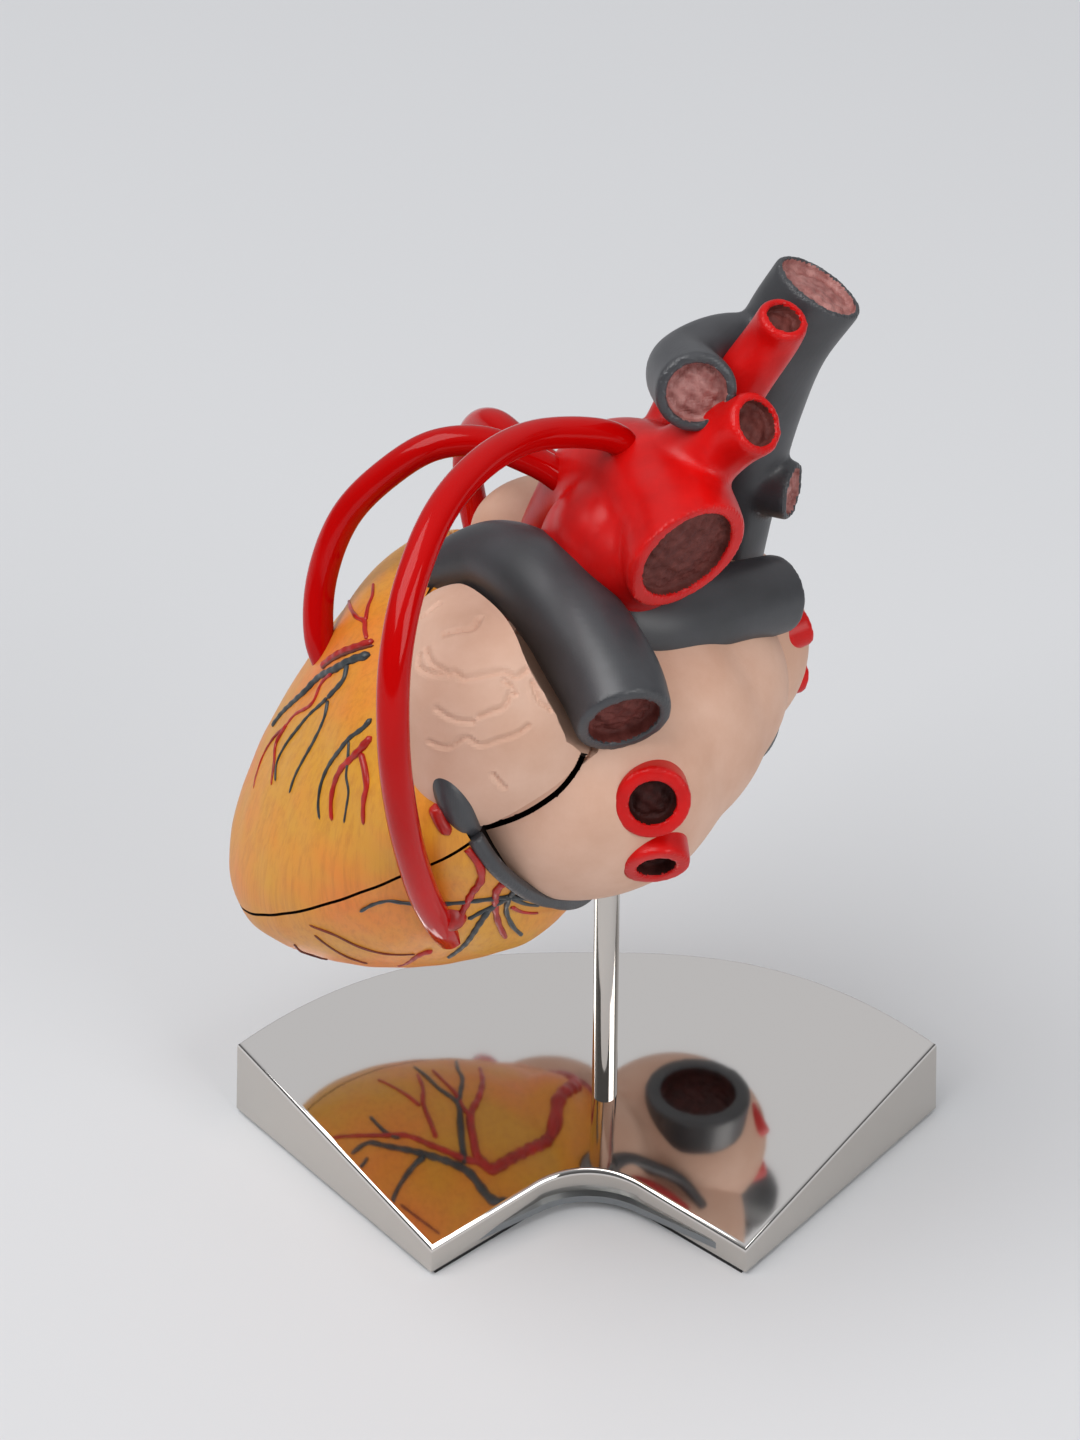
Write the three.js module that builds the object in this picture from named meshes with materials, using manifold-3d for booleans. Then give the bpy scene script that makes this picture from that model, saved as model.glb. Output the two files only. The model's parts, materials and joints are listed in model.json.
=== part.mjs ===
// Two-part classroom model of the human heart with three bypass grafts, on a chromed fan-shaped stand.
// Millimetres, +Z up. The origin is on the table, under the axis of the stand's rod.
// The front view is taken from -Y and shows the heart's left and back, with the apex towards -X.
import * as THREE from 'three';
import { mergeVertices } from 'three/addons/utils/BufferGeometryUtils.js';
import Module from 'manifold-3d';

const wasm = await Module();
wasm.setup();
const { Manifold, Mesh: SolidMesh } = wasm;
const v = (x, y, z) => new THREE.Vector3(x, y, z);

// Clearances
const jointGap = 0.3; // between castings that touch, and round a running fit
const seamGap = 0.6; // across the parting of the front wall

// Stand
const baseRearHalfWidth = 70;
const baseFrontHalfWidth = 30;
const baseDepth = 45; // front corners to rear corners
const baseRearSagitta = 21.6; // how far the rear arc bulges past the rear corners
const baseFrontHeight = 7; // at the front corners
const baseRearHeight = 20.3; // at the rear corners
const notchHalfAngle = 56; // degrees, between the notch's straight sides and its middle line
const notchFillet = 18;
const baseDraft = 0.06; // the walls splay outwards going down
const basePlate = 2.5;
const baseWallShare = 0.93; // inner outline as a share of the outer one
const padThickness = 1;
const coverThickness = 1.6;
const rodFromFront = 34;
const rodFromCentreline = 3.4;
const rodRadius = 2.5;
const rodTop = 97;
const sleeveBottom = 77;
const sleeveRadius = 4.2;
const shoulderHeight = 12; // below it the rod is turned down to the thread
const threadRadius = 2;
const frontScrewInset = 6; // inwards from the front corners
const frontScrewSetback = 14; // behind the front edge
const rearScrewInset = 20; // inwards from the rear corners
const rearScrewSetback = 3; // behind the rear corners
const screwRadius = 1.3;
const bossRadius = 3.5;

// Heart castings
const ventricleCentre = v(-34, -8, 110.5);
const apex = v(-66.5, -3.5, 71);
const ventricleBaseLength = 28; // centre to the atrial end
const ventricleNearHalf = 37.5; // centre to the side that faces the viewer
const ventricleFarHalf = 41;
const ventricleUpperHeight = 24;
const ventricleLowerHeight = 47;
const ventricleBluntness = 2.45; // 2 is an ellipse, more is blunter
const ventricleTaper = 0.25; // how much narrower the apex half is
const ventricleWall = 6;
const septumThickness = 8;
const septumPoint = v(-34, -2, 110.5); // on its middle plane
const atriumWall = 4;
const vesselWall = 1.8;
const recessDepth = 3.5; // of the painted hollow in each open vessel end
const graftRadius = 2.8;
const magnetRadius = 2;
const magnetDepth = 2;
const mitralRadius = 8.5;
const tricuspidRadius = 8;
const outflowRadius = 6.6;
const cruxCentre = v(-8, 2, 100);
const cruxRadii = v(20, 26, 26);
const leftAtriumCentre = v(-4, -19, 115);
const leftAtriumRadii = v(29, 27, 27);
const leftAtriumWaistCentre = v(4.5, -10.5, 117);
const leftAtriumWaistRadii = v(25.3, 25.7, 23.6);
const veinAntrumCentre = v(13, -2, 119);
const veinAntrumRadii = v(20.5, 23, 19);
const rightAtriumCentre = v(16.4, 18.2, 113);
const rightAtriumRadii = v(21, 22, 24.6);
const leftAuricleCentre = v(-19.5, -31, 133.5);
const leftAuricleRadii = v(17.6, 17, 22.6);
const rightAuricleCentre = v(-14, 30, 132);
const rightAuricleRadii = v(17, 9.5, 12);

// The plane between ventricles and atria: its normal points at the atria
const grooveNormal = v(0.886, -0.124, 0.447).normalize();
const groovePoint = v(-1, -12, 78);

// The front wall lifts off along this line
const liftOff = v(-0.82, 0.2, 0.54).normalize();
const partingNormal = v(-0.578, 0.198, 0.792).normalize();
const partingPoint = v(-38, -40, 105.5);

// A three.js geometry as a solid
function solidFrom(geometry) {
  const bare = geometry.clone();
  for (const name of Object.keys(bare.attributes)) {
    if (name !== 'position') bare.deleteAttribute(name);
  }
  const merged = mergeVertices(bare, 1e-4);
  return new Manifold(new SolidMesh({
    numProp: 3,
    vertProperties: new Float32Array(merged.attributes.position.array),
    triVerts: new Uint32Array(merged.index.array),
  }));
}

// A closed surface from rings of points, closed by a fan at each end
function ringSolid(rings) {
  const around = rings[0].length;
  const positions = rings.flat().flatMap((p) => [p.x, p.y, p.z]);
  const index = [];
  const last = (rings.length - 1) * around;
  for (let j = 0; j < around; j++) {
    const k = (j + 1) % around;
    for (let i = 0; i < last; i += around) {
      index.push(i + j, i + k, i + around + j, i + k, i + around + k, i + around + j);
    }
    if (j > 0 && j < around - 1) index.push(0, j + 1, j, last, last + j, last + j + 1);
  }
  const geometry = new THREE.BufferGeometry();
  geometry.setAttribute('position', new THREE.Float32BufferAttribute(positions, 3));
  geometry.setIndex(index);
  return solidFrom(geometry);
}

// A tube along a smooth curve through points that each carry their own radius, with flat ends
function tube(stops, around = 14, steps = 12, grow = 0) {
  const curve = new THREE.CatmullRomCurve3(stops.map(([x, y, z]) => v(x, y, z)), false, 'centripetal');
  const frames = curve.computeFrenetFrames(steps, false);
  const rings = [];
  for (let i = 0; i <= steps; i++) {
    const centre = curve.getPointAt(i / steps);
    if (i === 0) centre.addScaledVector(frames.tangents[0], -grow);
    if (i === steps) centre.addScaledVector(frames.tangents[steps], grow);
    const along = curve.getUtoTmapping(i / steps) * (stops.length - 1);
    const k = Math.min(Math.floor(along), stops.length - 2);
    const radius = THREE.MathUtils.lerp(stops[k][3], stops[k + 1][3], along - k) + grow;
    rings.push(Array.from({ length: around }, (_, j) => {
      const angle = (j / around) * 2 * Math.PI;
      return centre.clone()
        .addScaledVector(frames.normals[i], radius * Math.cos(angle))
        .addScaledVector(frames.binormals[i], radius * Math.sin(angle));
    }));
  }
  return ringSolid(rings);
}

// A straight round bar between two points
const bar = (from, to, radius, around = 14) => tube([[...from, radius], [...to, radius]], around, 1);

// An ellipsoid, its poles up and down
function ellipsoid(centre, radii, grow = 0, around = 28, steps = 15) {
  const geometry = new THREE.SphereGeometry(1, around, steps).rotateX(Math.PI / 2);
  geometry.scale(radii.x + grow, radii.y + grow, radii.z + grow);
  return solidFrom(geometry.translate(centre.x, centre.y, centre.z));
}

// A large block whose one face lies on the plane through a point, on the side the normal points to
function halfSpace(normal, point, size = 300) {
  const geometry = new THREE.BoxGeometry(size, size, size).translate(0, 0, size / 2);
  geometry.applyQuaternion(new THREE.Quaternion().setFromUnitVectors(v(0, 0, 1), normal.clone().normalize()));
  return solidFrom(geometry.translate(point.x, point.y, point.z));
}

const union = (...solids) => Manifold.union(solids);
const placed = (solid, matrix) => solid.transform(matrix.toArray());

const model = new THREE.Group();
function add(name, solid, colour, roughness = 0.5, metalness = 0) {
  const made = solid.getMesh();
  const geometry = new THREE.BufferGeometry();
  geometry.setAttribute('position', new THREE.Float32BufferAttribute(made.vertProperties, 3));
  geometry.setIndex(new THREE.Uint32BufferAttribute(made.triVerts, 1));
  const material = new THREE.MeshStandardMaterial({ color: colour, roughness, metalness });
  const mesh = new THREE.Mesh(geometry, material);
  mesh.name = name;
  model.add(mesh);
}

// Ventricles: an egg about the long axis, narrower at the apex, flatter above than below
const longAxis = apex.clone().sub(ventricleCentre).normalize();
const apexLength = apex.distanceTo(ventricleCentre);
const nearAxis = v(0, -1, 0).addScaledVector(longAxis, longAxis.y).normalize();
const heightAxis = new THREE.Vector3().crossVectors(longAxis, nearAxis).normalize();
function ventricleEgg(grow, around = 28, steps = 13) {
  const power = 2 / ventricleBluntness;
  const rings = [];
  for (let i = 0; i <= steps; i++) {
    const polar = THREE.MathUtils.lerp(0.02, Math.PI - 0.02, i / steps);
    const share = -Math.sign(Math.cos(polar)) * Math.abs(Math.cos(polar)) ** power;
    const along = share * ((share > 0 ? apexLength : ventricleBaseLength) + grow);
    const ring = Math.sin(polar) ** power * (1 - ventricleTaper * share);
    rings.push(Array.from({ length: around }, (_, j) => {
      const c = Math.cos((j / around) * 2 * Math.PI);
      const s = Math.sin((j / around) * 2 * Math.PI);
      const side = ((c > 0 ? ventricleNearHalf : ventricleFarHalf) + grow) * ring * c;
      const height = ((s > 0 ? ventricleUpperHeight : ventricleLowerHeight) + grow) * ring * s;
      return ventricleCentre.clone()
        .addScaledVector(longAxis, along)
        .addScaledVector(nearAxis, side)
        .addScaledVector(heightAxis, height);
    }));
  }
  return ringSolid(rings);
}
const crux = (grow) => ellipsoid(cruxCentre, cruxRadii, grow, 16, 8);
const groove = (offset) => groovePoint.clone().addScaledVector(grooveNormal, offset);
const ventricleSide = (offset) => halfSpace(grooveNormal.clone().negate(), groove(offset));
const atriumSide = (offset) => halfSpace(grooveNormal, groove(offset));
const parting = (offset) => partingPoint.clone().addScaledVector(partingNormal, offset);
const frontSide = (offset) => halfSpace(partingNormal, parting(offset));
const rearSide = (offset) => halfSpace(partingNormal.clone().negate(), parting(-offset));

// Vessels, each stop being a point on the middle line and the radius there
const aortaStops = [[-17, 14, 118, 8.4], [-11, 15, 130, 8.8], [-6, 14, 143, 9.4], [0, 8, 156, 10.8],
  [7, -3, 161, 11.4], [11.3, -13, 160, 11.6], [13, -25, 157.5, 11.8]];
const aortaWebCentre = v(0, -5, 149.5); // thickens the inside of the arch
const aortaWebRadii = v(12.5, 13, 13);
const aortaEnd = v(12.9, -20.5, 158.8);
const aortaEndNormal = v(0.53, -0.82, -0.22);
const aortaEndRadius = 9.2;
const brachiocephalic = [[8, 7, 160, 5.4], [12, 14, 166, 5.2], [15, 19, 170, 4.9]];
const carotid = [[14, 3, 163, 6], [22.5, 7, 177, 5.2], [28.3, 8.4, 186, 4.9], [29.9, 7, 190.5, 4.7]];
const subclavian = [[9, -3, 163, 8.5], [19.8, -5.2, 173.7, 6.5], [25, -9.3, 179, 5.7]];
const trunkStops = [[-32, 8, 132, 6.6], [-29, 7, 139, 7], [-23, 0, 144.3, 7.5], [-13, -11, 146.3, 9],
  [-7, -19, 143.2, 9.1], [-2.3, -27.5, 141, 8.8], [2.2, -42, 139.1, 7.6]];
const trunkBore = [[-29.5, 8, 128], [-26.5, 6, 139]];
const rightBranch = [[-4, -15, 143, 7.8], [9, -8, 136.6, 8], [20, -1, 134.6, 7.5], [32, 6, 132, 7.1]];
const cavaStops = [[20, 22, 130, 8.6], [24, 22, 147, 7.4], [27, 22, 163, 7.3], [30.4, 21.4, 177.8, 7.9],
  [37, 22, 187.6, 8.5]];
const leftVein = [[30, 22, 170, 6.2], [19, 17, 176.5, 6.6], [11.8, 8, 179.8, 6.8], [14.3, -7, 183.5, 7.2]];
const azygos = [[24.5, 21, 147.5, 5.4], [33.8, 17.4, 147.5, 5.5]];
const lowerCavaStops = [[17.5, 17.5, 98, 11], [21, 22.5, 88.5, 12.2]];
const lungVeins = {
  upper_left: [[6.1, -36, 121, 7.3], [6.9, -44.4, 122.8, 7.3]],
  lower_left: [[6.9, -36.6, 111.6, 6.6], [7.9, -44.2, 107.7, 6.6]],
  upper_right: [[24, 6, 119.5, 5.2], [35, 8.5, 121, 5.2]],
  lower_right: [[24, 14, 110, 5], [34.6, 16, 112, 5]],
};

// The lumen of a vessel: a blind recess in the open end
function lumen(stops, wall = vesselWall, depth = recessDepth, around = 10) {
  const [x, y, z, r] = stops.at(-1);
  const end = v(x, y, z);
  const inward = v(...stops.at(-2)).sub(end).normalize();
  const from = end.clone().addScaledVector(inward, depth);
  const to = end.clone().addScaledVector(inward, -4);
  return bar(from.toArray(), to.toArray(), r - wall, around);
}
const aortaOuter = (grow) => union(tube(aortaStops, 14, 9, grow),
  ellipsoid(aortaWebCentre, aortaWebRadii, grow, 14, 8), tube(brachiocephalic, 10, 2, grow),
  tube(carotid, 10, 4, grow), tube(subclavian, 10, 3, grow))
  .subtract(halfSpace(aortaEndNormal, aortaEnd.clone().addScaledVector(aortaEndNormal, grow)));
const pulmonaryOuter = (grow) => union(tube(trunkStops, 12, 8, grow), tube(rightBranch, 10, 4, grow));
const upperCavaOuter = (grow) => union(tube(cavaStops, 12, 6, grow), tube(leftVein, 10, 6, grow),
  tube(azygos, 10, 2, grow));
const lowerCavaOuter = (grow) => tube(lowerCavaStops, 18, 1, grow);
const lungVeinsOuter = (grow) => union(...Object.values(lungVeins).map((stops) => tube(stops, 12, 1, grow)));

// Bypass grafts: plain bent tubes, each end plugged into a socket
const graftToMargin = [[3, -2, 165], [0, -3, 172], [-13, -10, 178], [-23, -22, 181], [-31, -36, 179],
  [-36, -48, 172], [-38.5, -56, 162], [-39, -59.5, 148], [-38, -57, 130], [-35, -49, 108], [-31.5, -41, 92],
  [-29.3, -35, 84]];
const graftToFront = [[-6, 6, 155], [-11.5, 7.3, 159], [-16, 8, 161.5], [-23, 8.5, 164.5], [-32, 8, 164.5],
  [-41, 7.5, 160], [-49, 6.5, 150], [-53, 4, 137], [-53, 0, 127], [-51, -2, 121]];
const graftToRight = [[-6, 13, 152], [-15, 18, 156], [-21, 27, 156], [-25, 36, 149], [-26.5, 39.5, 139],
  [-25, 37, 129], [-22, 31, 119]];
const graft = (points, grow) => tube(points.map((p) => [...p, graftRadius]), 8, 18, grow);

// Two rounded atria side by side behind the groove, each with a blunt auricle that laps over the ventricles
const leftAtriumOuter = (grow) => union(ellipsoid(leftAtriumCentre, leftAtriumRadii, grow, 20, 11),
  ellipsoid(leftAtriumWaistCentre, leftAtriumWaistRadii, grow, 16, 8),
  ellipsoid(veinAntrumCentre, veinAntrumRadii, grow, 16, 8));
const rightAtriumOuter = (grow) => ellipsoid(rightAtriumCentre, rightAtriumRadii, grow, 18, 10);
const leftAuricleOuter = (grow) => ellipsoid(leftAuricleCentre, leftAuricleRadii, grow, 20, 11);
const rightAuricleOuter = (grow) => ellipsoid(rightAuricleCentre, rightAuricleRadii, grow, 16, 9);

// The rear casting keeps the top of the ventricles round the roots of the great vessels. The block's faces
// follow the way the front wall lifts off, so that nothing of it is hooked under a vessel.
const sideways = new THREE.Vector3().crossVectors(liftOff, v(0, 0, 1)).normalize();
const across = new THREE.Vector3().crossVectors(sideways, liftOff).normalize();
function rootBlock(grow) {
  const size = 120;
  const geometry = new THREE.BoxGeometry(size, size, size).translate(size / 2, size / 2, -size / 2);
  geometry.applyMatrix4(new THREE.Matrix4().makeBasis(across, sideways, liftOff));
  const corner = new THREE.Vector3().addScaledVector(sideways, -18 - grow).addScaledVector(across, 80 - grow)
    .addScaledVector(liftOff, 101.5 + grow);
  return solidFrom(geometry.translate(corner.x, corner.y, corner.z));
}
const trunkEnd = halfSpace(liftOff, new THREE.Vector3().addScaledVector(liftOff, 101.5 - seamGap / 2));
const frontRegion = frontSide(seamGap / 2).subtract(rootBlock(seamGap / 2));
const rearRegion = rearSide(seamGap / 2).add(rootBlock(-seamGap / 2));

// Passages between the chambers, with a valve in each
const mitralCentre = v(-9.6, -17, 94);
const tricuspidCentre = v(-7, 13, 97.6);
function alongGroove(solid, centre) {
  const turn = new THREE.Quaternion().setFromUnitVectors(v(0, 0, 1), grooveNormal);
  return placed(solid, new THREE.Matrix4().compose(centre, turn, v(1, 1, 1)));
}
const passage = (centre, radius) => alongGroove(bar([0, 0, -7.5], [0, 0, 6], radius, 20), centre);
const passages = union(passage(mitralCentre, mitralRadius), passage(tricuspidCentre, tricuspidRadius));
const outflowFrom = [-24, 10, 106];
const outflow = bar(aortaStops[0].slice(0, 3), outflowFrom, outflowRadius);
function funnelValve(radius) {
  const outline = [[radius - 5, -6.6], [radius - 4.2, -7], [radius - 1.2, -1.5], [radius, -1.5],
    [radius, 1.5], [radius - 2, 1.5]];
  const profile = [...outline, outline[0]].map(([r, z]) => new THREE.Vector2(r, z));
  return solidFrom(new THREE.LatheGeometry(profile, 20).rotateX(Math.PI / 2));
}

// Coronary vessels
const sinusOuter = (grow) => tube([[-23.8, -44, 115.8, 2.1], [-20, -42, 110.4, 2.2],
  [-15.5, -38.5, 103.6, 2.2], [-9.2, -31, 93.5, 2.2], [-3.5, -22, 84, 2.2],
  [-1.5, -11, 77.5, 2]], 8, 9, grow);
const leafVeinOuter = (grow) => tube([[-31, -44.4, 127, 1.3], [-28.5, -45.4, 123, 3],
  [-26.3, -45.6, 119.8, 3.2], [-25, -45, 118, 2.6]], 8, 5, grow);
const marginalOuter = (grow) => tube([[-25.8, -47.4, 113.6, 1.3], [-22.8, -47.2, 108, 1.3],
  [-23.2, -44.4, 100.5, 1.3], [-26, -41, 93.5, 1.4]], 6, 7, grow);
const descendingOuter = (grow) => tube([[-40.5, -16, 138.7, 1], [-45, -14.8, 135.8, 1],
  [-48.8, -11.8, 131.7, 0.9], [-52.2, -8.8, 126.7, 0.9]], 6, 5, grow);
const anteriorVeinOuter = (grow) => tube([[-41, -19.4, 137, 1.1], [-45.9, -18, 133.7, 1.1],
  [-50.2, -15, 129.4, 1.1], [-54.4, -10.4, 123.4, 1], [-58.2, -7.3, 117, 0.9],
  [-61.5, -4.5, 110.5, 0.8]], 6, 8, grow);

const sleeveHole = bar([0, 0, 60], [0, 0, rodTop + 3 + jointGap], sleeveRadius + jointGap, 20);
const cavity = (grow) => ventricleEgg(grow - ventricleWall, 18, 8)
  .intersect(ventricleSide(grow - ventricleWall));
const shell = ventricleEgg(0).add(crux(0)).intersect(ventricleSide(-jointGap / 2)).subtract(cavity(0));
const auricle = leftAuricleOuter(0).intersect(frontSide(seamGap / 2));
const auriclePocket = leftAuricleOuter(jointGap).intersect(frontSide(-seamGap / 2));

const rightCoronaryOuter = (grow) => tube([[-13, 24, 100, 1.5], [-9, 20, 90, 1.7], [-7, 12, 81, 1.8],
  [-8, 4, 76.5, 1.7], [-14, 0, 73.5, 1.5], [-22, 0, 70.5, 1.3]], 6, 8, grow);
const papillaries = [
  [[-45, -20, 78, 5], [-38, -21, 86, 4.4], [-30, -21, 92, 2.6]],
  [[-34, -30, 84, 4.4], [-28, -28, 90, 3.8], [-23, -24, 93, 2.4]],
  [[-44, 16, 78, 5], [-36, 15, 86, 4.2], [-28, 14, 91, 2.6]],
];
const magnetSpots = [v(-66.4, -13.3, 77.2), v(-36, -41.8, 106.5), v(-42.6, 22.2, 86)];
function magnetAt(spot, side, grow = 0) {
  const height = partingNormal.dot(spot.clone().sub(partingPoint));
  const middle = spot.clone().addScaledVector(partingNormal, -height);
  const from = middle.clone().addScaledVector(partingNormal, side * (seamGap / 2 - grow));
  const to = middle.clone().addScaledVector(partingNormal, side * (seamGap / 2 + magnetDepth + grow));
  return bar(from.toArray(), to.toArray(), magnetRadius + grow, 12);
}
const openEnd = (centre, normal, radius, depth) => bar(
  centre.clone().addScaledVector(normal, -depth).toArray(),
  centre.clone().addScaledVector(normal, 5).toArray(), radius, 18);
const graftStart = v(...graftToFront[0]);
const graftSocket = union(graft(graftToFront, jointGap), bar(graftStart.toArray(),
  graftStart.clone().addScaledVector(liftOff, 14).toArray(), graftRadius + jointGap, 12));
function cuspValve(from, to, radius) {
  const cup = bar(from, to, radius, 18);
  const away = v(...to).sub(v(...from)).multiplyScalar(0.35);
  const floor = v(...from).add(away);
  return cup.subtract(bar(floor.toArray(), v(...to).addScaledVector(away, 2).toArray(), radius - 1.4, 18))
    .subtract(bar(v(...from).addScaledVector(away, -1).toArray(), v(...to).toArray(), 1, 8));
}

// The trunk's way past the left auricle as the front wall lifts off
const trunkPassing = [4, 8, 12].map((step) => tube(trunkStops, 10, 8, 1.2)
  .translate(liftOff.clone().multiplyScalar(-step).toArray()));
const rearCuts = union(passages, sleeveHole, outflow, pulmonaryOuter(jointGap), aortaOuter(jointGap),
  graft(graftToMargin, jointGap), graft(graftToRight, jointGap), sinusOuter(jointGap),
  marginalOuter(jointGap), rightCoronaryOuter(jointGap));
const ochre = '#cf9c45';
const flesh = '#c9a08a';
const slate = '#44474c';
const scarlet = '#c81c14';
const graftRed = '#d3110f';
const muscle = '#b9764f';
const cusp = '#e3cbb0';
const magnetGrey = '#b8babd';

// Rear casting: ventricle wall, septum and atria
add('rear_ventricle_wall', shell.intersect(rearRegion).subtract(rearCuts)
  .subtract(union(...magnetSpots.map((spot) => magnetAt(spot, -1, jointGap)))), ochre, 0.45);
const septumNormal = new THREE.Vector3().crossVectors(longAxis, v(0.1, 0, 1)).normalize();
const septumFace = (side) => septumPoint.clone().addScaledVector(septumNormal, side * septumThickness / 2);
add('ventricular_septum', cavity(-jointGap).intersect(rearSide(seamGap / 2))
  .subtract(union(halfSpace(septumNormal, septumFace(1)),
    halfSpace(septumNormal.clone().negate(), septumFace(-1)), outflow, pulmonaryOuter(jointGap),
    graft(graftToMargin, jointGap), graft(graftToRight, jointGap))), muscle, 0.55);
const leftCavity = ellipsoid(leftAtriumCentre, leftAtriumRadii, -atriumWall, 14, 7)
  .intersect(atriumSide(atriumWall));
add('left_atrium', leftAtriumOuter(0).intersect(atriumSide(jointGap / 2)).subtract(leftCavity)
  .subtract(union(passages, sleeveHole, pulmonaryOuter(jointGap), aortaOuter(jointGap), sinusOuter(jointGap),
    auriclePocket, leafVeinOuter(jointGap), lungVeinsOuter(jointGap))), flesh, 0.6);
const rightCavity = ellipsoid(rightAtriumCentre, rightAtriumRadii, -atriumWall, 12, 7)
  .intersect(atriumSide(atriumWall));
add('right_atrium', rightAtriumOuter(0).add(crux(0)).intersect(atriumSide(jointGap / 2)).subtract(rightCavity)
  .subtract(union(passages, sleeveHole, pulmonaryOuter(jointGap), aortaOuter(jointGap),
    upperCavaOuter(jointGap), lowerCavaOuter(jointGap), leftAtriumOuter(jointGap), sinusOuter(jointGap),
    lungVeinsOuter(jointGap),
    rightCoronaryOuter(jointGap), graft(graftToRight, jointGap))), flesh, 0.6);
add('right_auricle', rightAuricleOuter(0).subtract(union(shell.add(cavity(1)),
  ventricleEgg(jointGap).intersect(ventricleSide(0)), rightAtriumOuter(jointGap), leftAtriumOuter(jointGap),
  crux(jointGap), pulmonaryOuter(jointGap), aortaOuter(jointGap), upperCavaOuter(jointGap),
  graft(graftToRight, jointGap), graft(graftToFront, 1))), flesh, 0.6);

// Great vessels
add('aorta', aortaOuter(0).subtract(union(lumen(brachiocephalic), lumen(carotid), lumen(subclavian),
  bar([-18.5, 13.7, 114], [-8, 14.6, 137], outflowRadius),
  openEnd(aortaEnd, aortaEndNormal, aortaEndRadius, recessDepth), graft(graftToMargin, jointGap), graftSocket,
  graft(graftToRight, jointGap))), scarlet, 0.4);
add('pulmonary_arteries', pulmonaryOuter(0).subtract(union(trunkEnd, lumen(trunkStops), lumen(rightBranch),
  bar(...trunkBore, 3.2), aortaOuter(jointGap), graft(graftToRight, jointGap))), slate, 0.4);
add('superior_vena_cava', upperCavaOuter(0).subtract(union(lumen(cavaStops), lumen(leftVein),
  lumen(azygos, 1.4), aortaOuter(jointGap), pulmonaryOuter(jointGap),
  leftAtriumOuter(jointGap))), slate, 0.4);
add('inferior_vena_cava', lowerCavaOuter(0).subtract(union(lumen(lowerCavaStops, 3.6),
  leftAtriumOuter(jointGap), crux(jointGap))), slate, 0.4);
Object.entries(lungVeins).forEach(([name, stops], i) => {
  const others = Object.values(lungVeins).slice(0, i).map((other) => tube(other, 12, 1, jointGap));
  add(`${name}_pulmonary_vein`, tube(stops, 12, 1)
    .subtract(union(lumen(stops, 2.4), pulmonaryOuter(jointGap), ...others)), scarlet, 0.35);
});
add('coronary_sinus', sinusOuter(0).subtract(leafVeinOuter(jointGap)), slate, 0.35);
add('marginal_artery', marginalOuter(0).subtract(graft(graftToMargin, jointGap)), scarlet, 0.35);
add('right_coronary_artery', rightCoronaryOuter(0).subtract(sinusOuter(jointGap)), scarlet, 0.35);
add('graft_to_margin', graft(graftToMargin, 0), graftRed, 0.15);
add('graft_to_right', graft(graftToRight, 0), graftRed, 0.15);

// Valves and papillary muscles
add('mitral_valve', alongGroove(funnelValve(mitralRadius - jointGap), mitralCentre), cusp, 0.6);
add('tricuspid_valve', alongGroove(funnelValve(tricuspidRadius - jointGap), tricuspidCentre), cusp, 0.6);
add('aortic_valve', cuspValve([-13, 14.2, 126], [-11.3, 14.4, 129.6], 6.3), cusp, 0.6);
add('pulmonary_valve', cuspValve([-28.3, 7.2, 132.4], [-27.6, 6.7, 135], 2.9), cusp, 0.6);
papillaries.forEach((stops, i) => {
  add(`papillary_muscle_${i + 1}`, tube(stops, 10, 3).intersect(cavity(-jointGap)).intersect(rearSide(1)),
    muscle, 0.55);
});

// Front wall: everything that lifts off with it
add('front_ventricle_wall', shell.intersect(frontRegion).subtract(union(passages,
  graft(graftToFront, jointGap), leafVeinOuter(jointGap), descendingOuter(jointGap),
  anteriorVeinOuter(jointGap),
  ...magnetSpots.map((spot) => magnetAt(spot, 1, jointGap)))), ochre, 0.45);
add('left_auricle', auricle.subtract(union(pulmonaryOuter(1.4), ...trunkPassing, shell.add(cavity(1)),
  leftAtriumOuter(-1), leafVeinOuter(jointGap),
  ventricleEgg(jointGap).intersect(ventricleSide(0)))), flesh, 0.6);
add('great_cardiac_vein', leafVeinOuter(0).intersect(frontSide(seamGap / 2)), slate, 0.35);
add('front_descending_artery', descendingOuter(0), scarlet, 0.35);
add('anterior_vein', anteriorVeinOuter(0), slate, 0.35);
add('graft_to_front', graft(graftToFront, 0), graftRed, 0.15);
magnetSpots.forEach((spot, i) => {
  add(`rear_magnet_${i + 1}`, magnetAt(spot, -1), magnetGrey, 0.3, 1);
  add(`front_magnet_${i + 1}`, magnetAt(spot, 1), magnetGrey, 0.3, 1);
});

// Socket that takes the rod
const sleeve = bar([0, 0, sleeveBottom], [0, 0, rodTop + 3], sleeveRadius, 24)
  .subtract(bar([0, 0, 60], [0, 0, rodTop], rodRadius + 0.08, 24));
add('rod_sleeve', sleeve, '#8d9196', 0.4, 1);

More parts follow.
